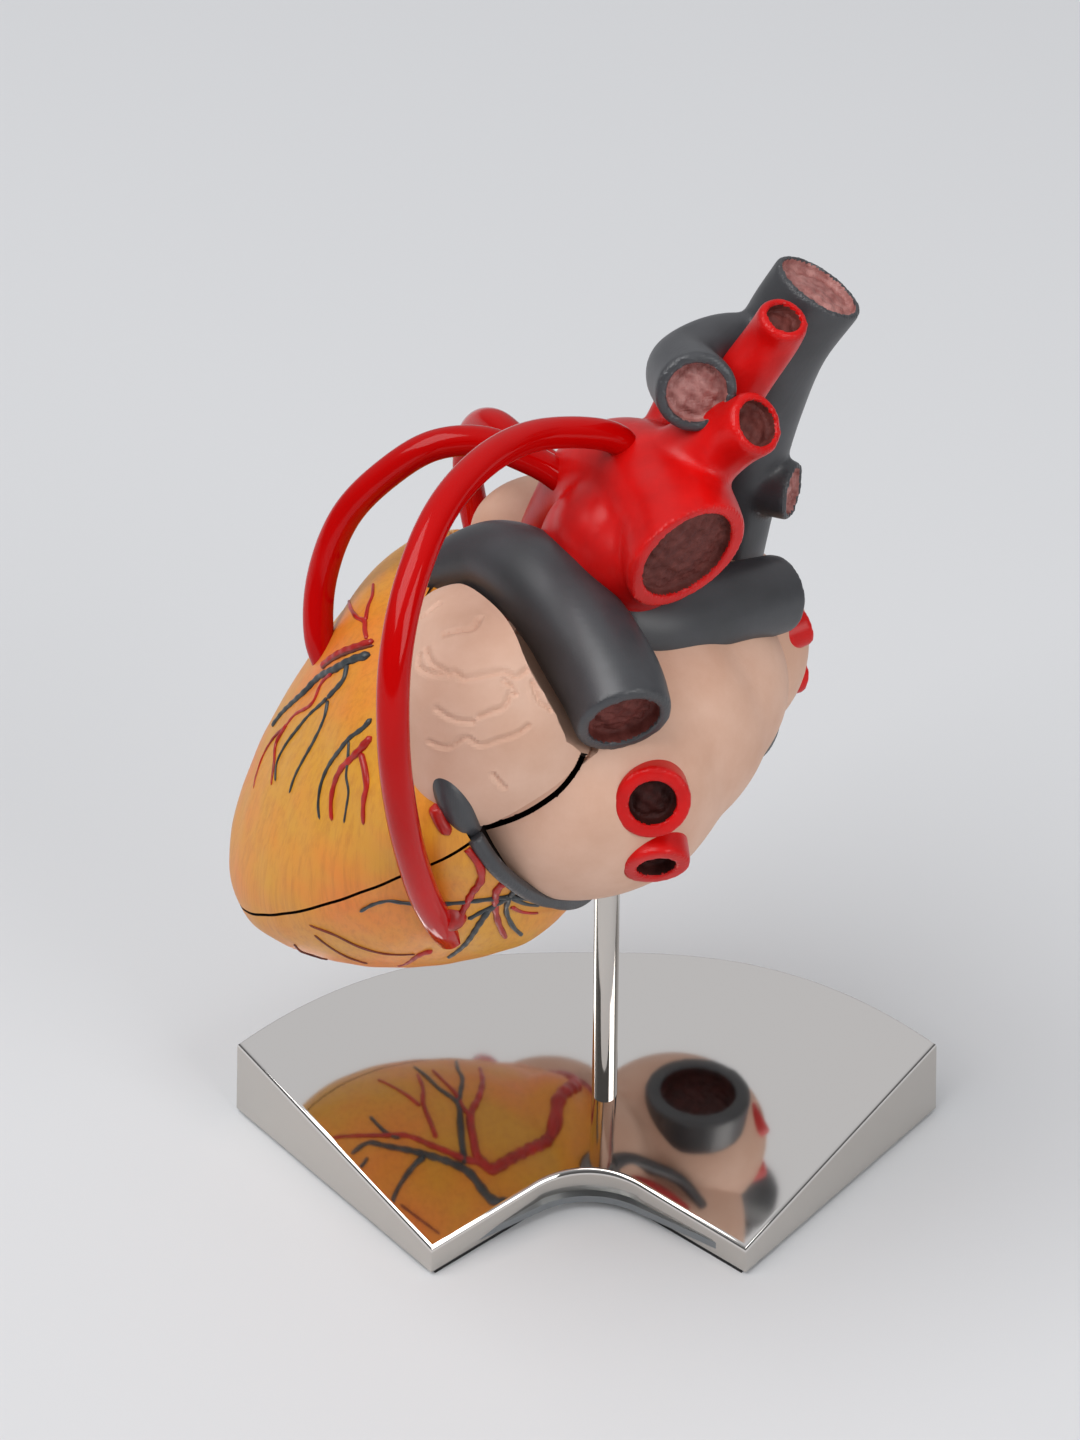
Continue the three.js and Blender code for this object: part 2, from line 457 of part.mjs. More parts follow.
// Stand
const rearRadius = (baseRearHalfWidth ** 2 + baseRearSagitta ** 2) / (2 * baseRearSagitta);
const fanBack = -rodFromFront + baseDepth;
function fan(share, bottom, top) {
  const notchAngle = THREE.MathUtils.degToRad(notchHalfAngle);
  const notchTip = -rodFromFront + baseFrontHalfWidth / Math.tan(notchAngle);
  const filletCentre = notchTip - notchFillet / Math.sin(notchAngle);
  const sweep = Math.asin(baseRearHalfWidth / rearRadius);
  const outline = new THREE.Shape();
  outline.moveTo(baseFrontHalfWidth, -rodFromFront);
  outline.lineTo(baseRearHalfWidth, fanBack);
  const arcCentre = fanBack + baseRearSagitta - rearRadius;
  outline.absarc(0, arcCentre, rearRadius, Math.PI / 2 - sweep, Math.PI / 2 + sweep, false);
  outline.lineTo(-baseFrontHalfWidth, -rodFromFront);
  outline.absarc(0, filletCentre, notchFillet, Math.PI - notchAngle, notchAngle, true);
  const geometry = new THREE.ExtrudeGeometry(outline, { depth: 1, bevelEnabled: false, curveSegments: 14 });
  const positions = geometry.attributes.position;
  for (let i = 0; i < positions.count; i++) {
    const z = positions.getZ(i) > 0.5 ? top : bottom;
    const splay = share * (1 + baseDraft * (baseRearHeight - z) / baseRearHalfWidth);
    positions.setXYZ(i, positions.getX(i) * splay - rodFromCentreline, positions.getY(i) * splay, z);
  }
  return solidFrom(geometry);
}
const plateTilt = Math.atan2(baseRearHeight - baseFrontHeight, baseDepth);
const plateNormal = v(0, -Math.sin(plateTilt), Math.cos(plateTilt));
const underPlate = (depth) => halfSpace(plateNormal,
  v(0, -rodFromFront, baseFrontHeight).addScaledVector(plateNormal, -depth));
const frontScrewX = baseFrontHalfWidth - frontScrewInset;
const rearScrewX = baseRearHalfWidth - rearScrewInset;
const frontScrewY = -rodFromFront + frontScrewSetback;
const rearScrewY = fanBack + rearScrewSetback;
const spots = [[-frontScrewX, frontScrewY], [frontScrewX, frontScrewY], [rearScrewX, rearScrewY],
  [-rearScrewX, rearScrewY]].map(([x, y]) => v(x - rodFromCentreline, y, 0));
const coverTop = padThickness + 1.5 + coverThickness;
const bossBottom = coverTop + jointGap;
const inside = fan(baseWallShare, 0, 60).subtract(underPlate(basePlate));
const bosses = union(bar([0, 0, 9.5], [0, 0, 17], 7, 24),
  ...spots.map((p) => bar([p.x, p.y, bossBottom], [p.x, p.y, 24], bossRadius, 14)));
const baseShell = fan(1, padThickness, 60).subtract(underPlate(0)).subtract(inside.subtract(bosses))
  .subtract(union(bar([0, 0, shoulderHeight], [0, 0, 40], rodRadius + 0.15, 20),
    bar([0, 0, 5], [0, 0, 14], threadRadius + 0.2, 16),
    ...spots.map((p) => bar([p.x, p.y, 0], [p.x, p.y, 8], screwRadius + jointGap, 12))));
add('base_shell', baseShell, '#d9dbdd', 0.08, 1);
add('base_cover', fan(baseWallShare - 0.01, coverTop - coverThickness, coverTop)
  .subtract(union(...spots.map((p) => bar([p.x, p.y, 0], [p.x, p.y, 8], screwRadius + jointGap + 0.1, 12)))),
  '#7d8184', 0.5, 1);
add('base_pad', fan(0.975, 0, padThickness - 0.05), '#1c1c1e', 0.9);
spots.forEach((p, i) => {
  const head = bar([p.x, p.y, padThickness + 0.1], [p.x, p.y, coverTop - coverThickness - 0.05], 2.8, 14);
  add(`cover_screw_${i + 1}`, head.add(bar([p.x, p.y, padThickness + 0.2], [p.x, p.y, 7], screwRadius, 12)),
    '#9a9da1', 0.35, 1);
});
const rodShoulder = bar([0, 0, shoulderHeight + 0.05], [0, 0, rodTop - 0.3], rodRadius, 24);
add('stand_rod', rodShoulder.add(bar([0, 0, 4.6], [0, 0, shoulderHeight + 1], threadRadius, 16)),
  '#cfd1d4', 0.1, 1);
add('rod_washer', bar([0, 0, 8.5], [0, 0, 9.4], 5.5, 20)
  .subtract(bar([0, 0, 8], [0, 0, 10], threadRadius + 0.3, 16)), '#a9acb0', 0.35, 1);
add('rod_nut', solidFrom(new THREE.CylinderGeometry(4, 4, 3.2, 6).rotateX(Math.PI / 2).translate(0, 0, 6.8))
  .subtract(bar([0, 0, 4], [0, 0, 10], threadRadius + 0.1, 16)), '#a9acb0', 0.35, 1);

export default model;
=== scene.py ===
# A life-size classroom heart on a chromed stand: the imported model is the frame, and every
# surface that shows is worked out here, in millimetres, and put into the mesh in metres.
import json
import math

import bpy
import numpy as np
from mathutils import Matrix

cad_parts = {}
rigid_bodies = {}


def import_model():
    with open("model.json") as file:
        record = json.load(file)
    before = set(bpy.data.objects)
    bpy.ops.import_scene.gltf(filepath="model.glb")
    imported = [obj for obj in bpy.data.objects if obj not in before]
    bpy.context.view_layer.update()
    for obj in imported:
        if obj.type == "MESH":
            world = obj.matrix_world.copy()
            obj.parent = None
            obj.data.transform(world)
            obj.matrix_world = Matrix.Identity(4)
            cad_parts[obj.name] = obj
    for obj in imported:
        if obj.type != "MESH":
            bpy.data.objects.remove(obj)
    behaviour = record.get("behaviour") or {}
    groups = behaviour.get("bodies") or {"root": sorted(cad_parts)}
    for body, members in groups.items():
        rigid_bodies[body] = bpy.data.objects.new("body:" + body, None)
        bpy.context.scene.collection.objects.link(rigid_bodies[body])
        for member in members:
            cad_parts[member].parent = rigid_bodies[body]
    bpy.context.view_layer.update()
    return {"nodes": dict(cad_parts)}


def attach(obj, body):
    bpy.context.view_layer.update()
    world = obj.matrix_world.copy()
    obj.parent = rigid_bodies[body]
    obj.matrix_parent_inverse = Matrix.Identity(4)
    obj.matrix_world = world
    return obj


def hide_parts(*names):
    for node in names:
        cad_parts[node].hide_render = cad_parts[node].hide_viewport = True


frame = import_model()
MM = 0.001

# Camera: a 100 mm lens on a 36 mm tall frame, 0.8 m off and about 36 degrees above the table,
# level and facing along +Y, which is how the photograph's verticals and the base's edges run.
camera_place = (-12.8, -597.0, 545.9)
camera_tilt = 53.77  # degrees from straight down
lens = 100.0
camera_data = bpy.data.cameras.new("camera")
camera_data.sensor_fit = "VERTICAL"
camera_data.sensor_height = 36.0
camera_data.lens = lens
camera = bpy.data.objects.new("camera", camera_data)
camera.location = [MM * c for c in camera_place]
camera.rotation_euler = (math.radians(camera_tilt), 0, 0)
bpy.context.scene.collection.objects.link(camera)
bpy.context.scene.camera = camera


# Base: a fan-shaped shell of pressed steel, mirror-polished on its sloping top and satin on its
# side walls, with a bright rounded edge between them, plated with chrome.
def linear(code):
    """The linear colour of an sRGB hex code: each channel is divided by 12.92 near black and
    follows a 2.4 power above that."""
    channels = [int(code[i:i + 2], 16) / 255 for i in (1, 3, 5)]
    return [c / 12.92 if c <= 0.04045 else ((c + 0.055) / 1.055) ** 2.4 for c in channels] + [1.0]


def add_node(tree, kind, settings=None, **sockets):
    """Adds one shader node. Settings are its properties; a socket takes a value, or a link from
    another node's output, and is named with underscores for spaces or by its number."""
    made = tree.nodes.new("ShaderNode" + kind)
    for key, value in (settings or {}).items():
        setattr(made, key, value)
    for key, value in sockets.items():
        spot = made.inputs[int(key[1:])] if key[0] == "_" else made.inputs[key.replace("_", " ")]
        if isinstance(value, bpy.types.NodeSocket):
            tree.links.new(value, spot)
        else:
            spot.default_value = value
    return made


def new_material(name, **surface):
    """A material with one Principled shader, whose plain values are given by socket name, and the
    Object coordinates that its patterns read."""
    made = bpy.data.materials.new(name)
    made.use_nodes = True
    tree = made.node_tree
    shader = tree.nodes["Principled BSDF"]
    for key, value in surface.items():
        shader.inputs[key.replace("_", " ")].default_value = value
    return made, tree, shader, add_node(tree, "TexCoord").outputs["Object"]


def new_piece(name, points, faces, body, replaced=(), slot=None, smooth=True):
    """A mesh object from points in millimetres and faces, riding on a body."""
    mesh = bpy.data.meshes.new(name)
    mesh.from_pydata((np.asarray(points, float) * MM).tolist(), [], faces)
    mesh.update()
    mesh.shade_smooth() if smooth else mesh.shade_flat()
    piece = bpy.data.objects.new(name, mesh)
    bpy.context.scene.collection.objects.link(piece)
    if body:
        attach(piece, body)
    if replaced:
        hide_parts(*replaced)
    return piece


def grid_faces(rows, columns):
    """The quads of a grid whose columns close into a ring, wound so that they face outwards when
    the columns turn anticlockwise about the direction of the rows, and a cap on each end row."""
    j = np.arange(columns)
    k = (j + 1) % columns
    i = np.arange(rows - 1)[:, None] * columns
    quads = np.stack([i + j, i + k, i + columns + k, i + columns + j], axis=-1).reshape(-1, 4)
    return quads.tolist() + [j[::-1].tolist(), ((rows - 1) * columns + j).tolist()]


def paint(piece, *coats, parts=None):
    """Gives a piece its coats of paint or plate, and says which of them each face has."""
    piece.data.materials.clear()
    for coat in coats:
        piece.data.materials.append(coat)
    if parts is not None:
        piece.data.polygons.foreach_set("material_index", np.asarray(parts, np.int32))


base_rear_half, base_front_half = 70.0, 30.0
base_depth, base_front_y, base_middle_x = 45.0, -34.0, -3.4
base_front_height, base_rear_height = 7.05, 20.3
base_bulge, bulge_power, rear_points = 21.6, 2.75, 90
notch_half_angle, notch_fillet, notch_points = math.radians(56), 18.0, 40
edge_round, edge_rings, mitre_limit = 0.9, 7, 0.3
wall_splay = 0.06
pad_height = 1.0
notch_setback, setback_half, setback_fade = 4.5, 19.0, 10.0
rear_stand_out = 2.0
top_slope = (base_rear_height - base_front_height) / base_depth


def fan_outline(inset):
    """The fan seen from above, anticlockwise: straight sides, a bulging rear edge whose distance
    from its farthest line grows with a power of x, and a notch with a rounded bottom in front, all
    moved inwards by the inset."""
    rear_y = base_front_y + base_depth
    share = np.linspace(1, -1, rear_points)
    rear = np.stack([base_rear_half * share, rear_y + base_bulge * (1 - np.abs(share) ** bulge_power)], 1)
    tip = base_front_y + base_front_half / math.tan(notch_half_angle)
    middle = tip - notch_fillet / math.sin(notch_half_angle)
    turn = np.linspace(math.pi - notch_half_angle, notch_half_angle, notch_points)
    notch = np.stack([notch_fillet * np.cos(turn), middle + notch_fillet * np.sin(turn)], 1)
    corners = [[-base_front_half, base_front_y]], [[base_front_half, base_front_y]]
    outline = np.concatenate([rear, corners[0], notch, corners[1]])
    before = outline - np.roll(outline, 1, 0)
    after = np.roll(outline, -1, 0) - outline
    before /= np.linalg.norm(before, axis=1)[:, None]
    after /= np.linalg.norm(after, axis=1)[:, None]
    normal = np.stack([-(before + after)[:, 1], (before + after)[:, 0]], 1)
    normal /= np.linalg.norm(normal, axis=1)[:, None]
    square = normal[:, 0] * -before[:, 1] + normal[:, 1] * before[:, 0]
    return outline + normal * (inset / np.maximum(square, mitre_limit))[:, None]


def shell_ring(inset, drop=None):
    """One ring round the shell: the fan moved in by the inset, at a drop below the sloping top or,
    where none is given, at the foot, and splayed out by how far it lies below the rear edge. The
    foot stands back behind the notch and out behind the rear edge."""
    line = fan_outline(inset)
    rise = base_front_height + top_slope * (line[:, 1] - base_front_y)
    z = np.full(len(line), pad_height) if drop is None else rise - drop
    splay = 1 + wall_splay * (base_rear_height - z) / base_rear_half
    y = line[:, 1] * splay
    if drop is None:
        y += notch_setback * np.clip((setback_half - np.abs(line[:, 0])) / setback_fade, 0, 1) * (y < 0)
        y[:rear_points] += rear_stand_out
    else:
        z += top_slope * (y - line[:, 1])
    return np.stack([line[:, 0] * splay + base_middle_x, y, z], 1)


rings = [shell_ring(0)]
for angle in np.linspace(0, math.pi / 2, edge_rings):
    rings.append(shell_ring(edge_round * (1 - math.cos(angle)), edge_round * (1 - math.sin(angle))))
around = len(rings[0])
base_shell = new_piece("base_shell_polished", np.concatenate(rings), grid_faces(len(rings), around), "stand",
                       ["base_shell"], "chrome", smooth=False)
sharp_turn = math.radians(40)
base_shell.data.set_sharp_from_angle(angle=sharp_turn)
shell_faces = len(base_shell.data.polygons)
base_shell.data.polygons.foreach_set("use_smooth", np.arange(shell_faces) < shell_faces - 2)


def plated(name, colour, smoothest, roughest, marks, stretch=None, **sockets):
    """A plated metal: one colour, and a roughness between two values that follows the marks, a
    texture on Object coordinates, stretched where the marks run one way."""
    made, tree, shader, place = new_material(name, Metallic=1.0)
    if stretch:
        place = add_node(tree, "Mapping", Vector=place, Scale=stretch).outputs["Vector"]
    texture = add_node(tree, marks, Vector=place, **sockets)
    tone = add_node(tree, "MapRange", Value=texture.outputs[0], To_Min=smoothest, To_Max=roughest)
    tree.links.new(tone.outputs["Result"], shader.inputs["Roughness"])
    shader.inputs["Base Color"].default_value = linear(colour)
    return made


# Buffed chrome plate: a warm grey mirror with a faint haze in patches of 11 mm
mirror_chrome = plated("polished_chrome_plate", "#e2deda", 0.035, 0.06, "TexNoise", Scale=90.0, Detail=4.0)
# Chrome plate over ground steel: a soft sheen drawn out sideways by lines 0.4 mm high, 17 mm long
satin_chrome = plated("satin_chrome_wall", "#cbc6c0", 0.2, 0.28, "TexNoise", (60.0, 60.0, 2500.0),
                      Scale=1.0, Detail=3.0)
paint(base_shell, mirror_chrome, satin_chrome, parts=np.arange(shell_faces) < around)

# Under the base: a rubber pad glued to the foot, a zinc-plated steel cover held by four screws, and
# the washer and nut that tighten the rod. They are seen only from below, but for the pad's black
# edge in the gap under the foot, which also stands in as a painted contact shadow there.
pad_share, pad_gap = 0.975, 0.05
# Moulded rubber sheet: matt black with a fine grit of 0.7 mm, partly a painted contact shadow at the foot
rubber, tree, shader, place = new_material("black_rubber_sheet", Roughness=0.85)
grit = add_node(tree, "TexNoise", Vector=place, Scale=1500.0)
bump = add_node(tree, "Bump", Height=grit.outputs["Fac"], Strength=0.3, Distance=0.0002)
tree.links.new(bump.outputs["Normal"], shader.inputs["Normal"])
shader.inputs["Base Color"].default_value = linear("#1b1b1c")
# Zinc plate, passivated: a dull blue-grey metal with 3 mm spangles
zinc = plated("zinc_plated_steel", "#8f9396", 0.3, 0.5, "TexVoronoi", Scale=350.0)


def paint_nodes(material, *names):
    """Gives CAD nodes their material."""
    for name in names:
        paint(frame["nodes"][name], material)


pad_line = rings[0] * (pad_share, pad_share, 1) + (base_middle_x * (1 - pad_share), 0, 0)
pad_points = np.concatenate([pad_line * (1, 1, 0), pad_line - (0, 0, pad_gap)])
pad = new_piece("rubber_pad", pad_points, grid_faces(2, around), "stand", ["base_pad"], "pad", smooth=False)
paint(pad, rubber)
paint_nodes(zinc, "base_cover", "rod_washer", "rod_nut", *[f"cover_screw_{i}" for i in range(1, 5)])


# Rod: a 5 mm round steel bar, ground, chromed and screwed into the base by its thinner foot. The
# turned socket of zinc-plated steel in the heart's underside slides over it.
def lathe(profile, centre, axis, turns=72):
    """Points and faces of a profile of (radius, height) pairs turned about an axis: for row i and
    angle a the point is centre + height_i axis + radius_i (cos a, sin a) across it."""
    axis = np.asarray(axis, float) / np.linalg.norm(axis)
    side = np.cross(axis, [1.0, 0, 0] if abs(axis[0]) < 0.8 else [0, 1.0, 0])
    side /= np.linalg.norm(side)
    angle = np.linspace(0, 2 * math.pi, turns, endpoint=False)
    spoke = np.cos(angle)[:, None] * side + np.sin(angle)[:, None] * np.cross(axis, side)
    radius, height = np.asarray(profile, float).T
    points = np.asarray(centre, float) + height[:, None, None] * axis + radius[:, None, None] * spoke
    return points.reshape(-1, 3), grid_faces(len(profile), turns)


rod_radius, rod_top, tip_chamfer = 2.5, 96.7, 0.6
thread_radius, thread_foot, shoulder = 2.0, 4.6, 12.05
rod_middle, end_dimple = 40, 0.3
rod_profile = [(end_dimple, thread_foot), (thread_radius, thread_foot), (thread_radius, shoulder),
               (rod_radius, shoulder), (rod_radius, rod_middle), (rod_radius, rod_top - tip_chamfer),
               (rod_radius - tip_chamfer, rod_top), (end_dimple, rod_top)]
rod = new_piece("stand_rod_polished", *lathe(rod_profile, (0, 0, 0), (0, 0, 1)), "stand",
                ["stand_rod"], "chrome")
rod.data.set_sharp_from_angle(angle=sharp_turn)
# Centreless-ground bar under chrome: bright, with rings 0.6 mm apart that soften what it mirrors
rod_chrome = plated("ground_chromed_bar", "#cfcac4", 0.05, 0.12, "TexNoise", (40.0, 40.0, 1800.0), Scale=1.0)
paint(rod, rod_chrome)
paint_nodes(zinc, "rod_sleeve")


# Ventricles: a thick-walled casting in hand-painted vinyl, an egg with the apex at the lower left,
# parted so that its upper front lifts off, with a second swelling behind it where the atria sit.
ventricle_centre = np.array([-34.0, -8.0, 110.5])
apex = np.array([-66.5, -3.5, 71.0])
base_reach = 28.0
near_half, far_half = 37.5, 41.0
upper_half, lower_half = 24.0, 47.0
bluntness, taper = 2.45, 0.25
egg_pole_gap, pole_gap = 0.004, 0.006  # radians left open at a pole, where a cap closes the grid
wall = 6.0
farthest = 90.0  # from the egg's centre, beyond all of its surface
apex_reach = np.linalg.norm(apex - ventricle_centre)
long_axis = (apex - ventricle_centre) / apex_reach
near_axis = np.array([0, -1.0, 0]) + long_axis * long_axis[1]
near_axis /= np.linalg.norm(near_axis)
height_axis = np.cross(long_axis, near_axis)
egg_axes = np.stack([long_axis, near_axis, height_axis])


def egg(grow, rows, columns):
    """The egg on a grid: along its axis a superellipse, round it an ellipse whose four half axes
    differ, narrower at the apex than at the base."""
    power = 2 / bluntness
    polar = np.linspace(egg_pole_gap, math.pi - egg_pole_gap, rows)[:, None]
    angle = np.linspace(0, 2 * math.pi, columns, endpoint=False)[None, :]
    share = -np.sign(np.cos(polar)) * np.abs(np.cos(polar)) ** power
    along = share * (np.where(share > 0, apex_reach, base_reach) + grow)
    ring = np.sin(polar) ** power * (1 - taper * share)
    across = (np.where(np.cos(angle) > 0, near_half, far_half) + grow) * ring * np.cos(angle)
    up = (np.where(np.sin(angle) > 0, upper_half, lower_half) + grow) * ring * np.sin(angle)
    local = np.stack([along + 0 * across, across, up], -1)
    return (ventricle_centre + local @ egg_axes).reshape(-1, 3), grid_faces(rows, columns)


def egg_surface(points):
    """Moves points along their rays from the egg's centre onto its surface, by halving the range
    of distances forty times."""
    ray = np.asarray(points, float) - ventricle_centre
    ray /= np.linalg.norm(ray, axis=-1, keepdims=True)
    local = ray @ egg_axes.T
    low, high = np.zeros(ray.shape[:-1]), np.full(ray.shape[:-1], farthest)
    for _ in range(40):
        middle = (low + high) / 2
        a, s, h = np.moveaxis(local * middle[..., None], -1, 0)
        share = a / np.where(a > 0, apex_reach, base_reach)
        ring = np.maximum(1 - np.abs(share) ** bluntness, 0) ** (1 / bluntness) * (1 - taper * share)
        reach = np.hypot(s / np.where(s > 0, near_half, far_half),
                         h / np.where(h > 0, upper_half, lower_half))
        outside = (reach > ring) | (np.abs(share) >= 1)
        low, high = np.where(outside, low, middle), np.where(outside, middle, high)
    return ventricle_centre + ray * low[..., None]


def sphere(centre, radii, rows=90, columns=140):
    """An ellipsoid on a grid: centre + radii (sin p cos a, sin p sin a, -cos p) for the latitudes p
    and the longitudes a."""
    polar = np.linspace(pole_gap, math.pi - pole_gap, rows)[:, None]
    angle = np.linspace(0, 2 * math.pi, columns, endpoint=False)[None, :]
    unit = np.stack([np.sin(polar) * np.cos(angle), np.sin(polar) * np.sin(angle),
                     -np.cos(polar) + 0 * angle], -1)
    return (np.asarray(centre) + unit * np.asarray(radii)).reshape(-1, 3), grid_faces(rows, columns)


def joined(*parts):
    """Several closed surfaces as one list of points and faces."""
    points, faces, start = [], [], 0
    for some, their_faces in parts:
        points.append(some)
        faces += [[start + i for i in face] for face in their_faces]
        start += len(some)
    return np.concatenate(points), faces


def apply_modifiers(piece):
    """Makes the modified mesh the piece's own."""
    depsgraph = bpy.context.evaluated_depsgraph_get()
    made = bpy.data.meshes.new_from_object(piece.evaluated_get(depsgraph))
    piece.modifiers.clear()
    piece.data = made


def melt(piece, voxel, rounds):
    """Fuses what overlaps into one skin and softens the inner corners, as clay smoothed by hand."""
    remesh = piece.modifiers.new("skin", "REMESH")
    remesh.mode = "VOXEL"
    remesh.voxel_size = voxel * MM
    smooth = piece.modifiers.new("softened", "SMOOTH")
    smooth.factor = 0.5
    smooth.iterations = rounds
    apply_modifiers(piece)


def cutter(points, faces):
    """A hidden solid that only serves to cut others."""
    made = new_piece("cutter", points, faces, None)
    made.hide_render = True
    return made


def carve(piece, operation, *solids):
    """Cuts solids away, or keeps what is inside them, one after another."""
    for solid in solids:
        step = piece.modifiers.new("cut", "BOOLEAN")
        step.operation = operation
        step.solver = "MANIFOLD"
        step.object = solid
        apply_modifiers(piece)


def slab(normal, point, size=300.0):
    """A block with one face on the plane through a point, reaching to the normal's side."""
    normal = np.asarray(normal, float) / np.linalg.norm(normal)
    side = np.cross(normal, [0, 0, 1.0])
    side /= np.linalg.norm(side)
    other = np.cross(normal, side)
    corner = [(a, b) for a in (-size, size) for b in (-size, size)]
    points = [np.asarray(point) + a * side + b * other + c * normal for c in (0, size) for a, b in corner]
    return outward(np.array(points), block_faces)


def outward(points, faces):
    """Turns the faces over if they enclose a negative volume, the sum of a . (b x c) over the
    triangles a, b, c of each face."""
    fans = [(f[0], f[i], f[i + 1]) for f in faces for i in range(1, len(f) - 1)]
    volume = sum(np.dot(points[a], np.cross(points[b], points[c])) for a, b, c in fans)
    return points, (faces if volume > 0 else [f[::-1] for f in faces])


# The faces of a block whose corners are numbered 4 c + 2 a + b, for a, b and c of 0 or 1
block_faces = [[0, 1, 3, 2], [4, 6, 7, 5], [0, 4, 5, 1], [2, 3, 7, 6], [0, 2, 6, 4], [1, 5, 7, 3]]
# The groove's plane, square to a way towards the atria; the parting's, square to one towards the
# front wall; and the way along which the front wall lifts off
groove_normal = np.array([0.886, -0.124, 0.447])
groove_normal /= np.linalg.norm(groove_normal)
groove_point = np.array([-0.1, -12.1, 78.45])
parting_normal = np.array([-0.578, 0.198, 0.792])
parting_normal /= np.linalg.norm(parting_normal)
parting_point = np.array([-38.0, -40.0, 105.5])
lift_off = np.array([-0.82, 0.2, 0.54])
lift_off /= np.linalg.norm(lift_off)
sideways = np.cross(lift_off, [0, 0, 1.0])
sideways /= np.linalg.norm(sideways)
across_way = np.cross(sideways, lift_off)
root_side, root_front, root_top = -18, 80, 101.5
joint_gap, joint_face = 0.3, 0.2
seam_gap = 0.6


def root_block(grow, size=120.0):
    """The block, set along the way the front lifts off, that stays with the rear casting."""
    corner = sideways * (root_side - grow) + across_way * (root_front - grow) + lift_off * (root_top + grow)
    points = [corner + a * across_way + b * sideways - c * lift_off
              for c in (0, size) for a in (0, size) for b in (0, size)]
    return outward(np.array(points), block_faces)


def ripple(points, size, seed, waves=7):
    """Smooth lumps: a mean of sine waves in random directions, about one wave to the size."""
    draw = np.random.default_rng(seed)
    way = draw.normal(size=(waves, 3))
    pitch = 2 * math.pi / size * draw.uniform(0.6, 1.4, (waves, 1))
    way *= pitch / np.linalg.norm(way, axis=1, keepdims=True)
    return np.sin(np.asarray(points) @ way.T + draw.uniform(0, 6.3, waves)).mean(-1) * 1.7


def mesh_points(piece):
    """A piece's points in millimetres."""
    flat = np.empty(len(piece.data.vertices) * 3)
    piece.data.vertices.foreach_get("co", flat)
    return flat.reshape(-1, 3) / MM


def set_points(piece, points):
    """Puts points in millimetres into a piece's mesh."""
    piece.data.vertices.foreach_set("co", (points * MM).ravel())
    piece.data.update()


def face_centres(piece):
    """The middles of a piece's faces in millimetres."""
    flat = np.empty(len(piece.data.polygons) * 3)
    piece.data.polygons.foreach_get("center", flat)
    return flat.reshape(-1, 3) / MM


def front_half(gap):
    """The side of the parting plane that lifts off."""
    return cutter(*slab(parting_normal, parting_point + gap * parting_normal))


def groove_dip(points):
    """How far the wall sinks towards the groove: dip_depth exp(-(d / dip_width)^2) at the distance d
    from the groove's plane, fading out upwards."""
    off = (points - groove_point) @ groove_normal
    return dip_depth * np.exp(-(off / dip_width) ** 2) * np.clip((dip_top - points[..., 2]) / dip_fade, 0, 1)


dip_depth, dip_width, dip_top, dip_fade = 3.5, 8, 112, 20
lump_height, lump_size, lump_seed = 0.12, 9, 3
crux_centre, crux_radii = (-8, 2, 100), (20, 26, 26)
clay = new_piece("clay", *joined(egg(0, 190, 280), sphere(crux_centre, crux_radii)), None)
melt(clay, 0.75, 6)
skin = mesh_points(clay)
ray = (skin - ventricle_centre) / np.linalg.norm(skin - ventricle_centre, axis=1, keepdims=True)
lumps = lump_height * ripple(skin, lump_size, lump_seed)
set_points(clay, skin + (lumps - groove_dip(skin))[:, None] * ray)
ventricle_side = cutter(*slab(-groove_normal, groove_point - joint_gap / 2 * groove_normal))
carve(clay, "INTERSECT", ventricle_side)
cavity = cutter(*egg(-wall, 60, 90))
carve(cavity, "INTERSECT", cutter(*slab(-groove_normal, groove_point - wall * groove_normal)))
carve(clay, "DIFFERENCE", cavity)
hub, sleeve_radius, sleeve_foot, sleeve_top = 0.01, 4.5, 60, 100.3
sleeve_profile = [(hub, sleeve_foot), (sleeve_radius, sleeve_foot), (sleeve_radius, sleeve_top),
                  (hub, sleeve_top)]
sleeve_hole = cutter(*lathe(sleeve_profile, (0, 0, 0), (0, 0, 1), 48))


def passage(centre, radius, inner_end=-7.5, outer_end=6.0):
    """A round way through the wall between an atrium and its ventricle."""
    profile = [(hub * radius, inner_end), (radius, inner_end), (radius, outer_end), (hub * radius, outer_end)]
    return cutter(*lathe(profile, centre, groove_normal, 64))


mitral_centre, mitral_radius = (-9.6, -17, 94), 8.5
tricuspid_centre, tricuspid_radius = (-7, 13, 97.6), 8.0
carve(clay, "DIFFERENCE", passage(mitral_centre, mitral_radius), passage(tricuspid_centre, tricuspid_radius))

front_wall = new_piece("front_ventricle_casting", [], [], "front_heart", ["front_ventricle_wall"], "muscle")
front_wall.data = clay.data.copy()
carve(front_wall, "INTERSECT", front_half(seam_gap / 2))
carve(front_wall, "DIFFERENCE", cutter(*root_block(seam_gap / 2)))
rear_wall = new_piece("rear_ventricle_casting", [], [], "rear_heart", ["rear_ventricle_wall"], "muscle")
rear_wall.data = clay.data.copy()
front_less_block = front_half(-seam_gap / 2)
carve(front_less_block, "DIFFERENCE", cutter(*root_block(-seam_gap / 2)))
carve(rear_wall, "DIFFERENCE", front_less_block, sleeve_hole)

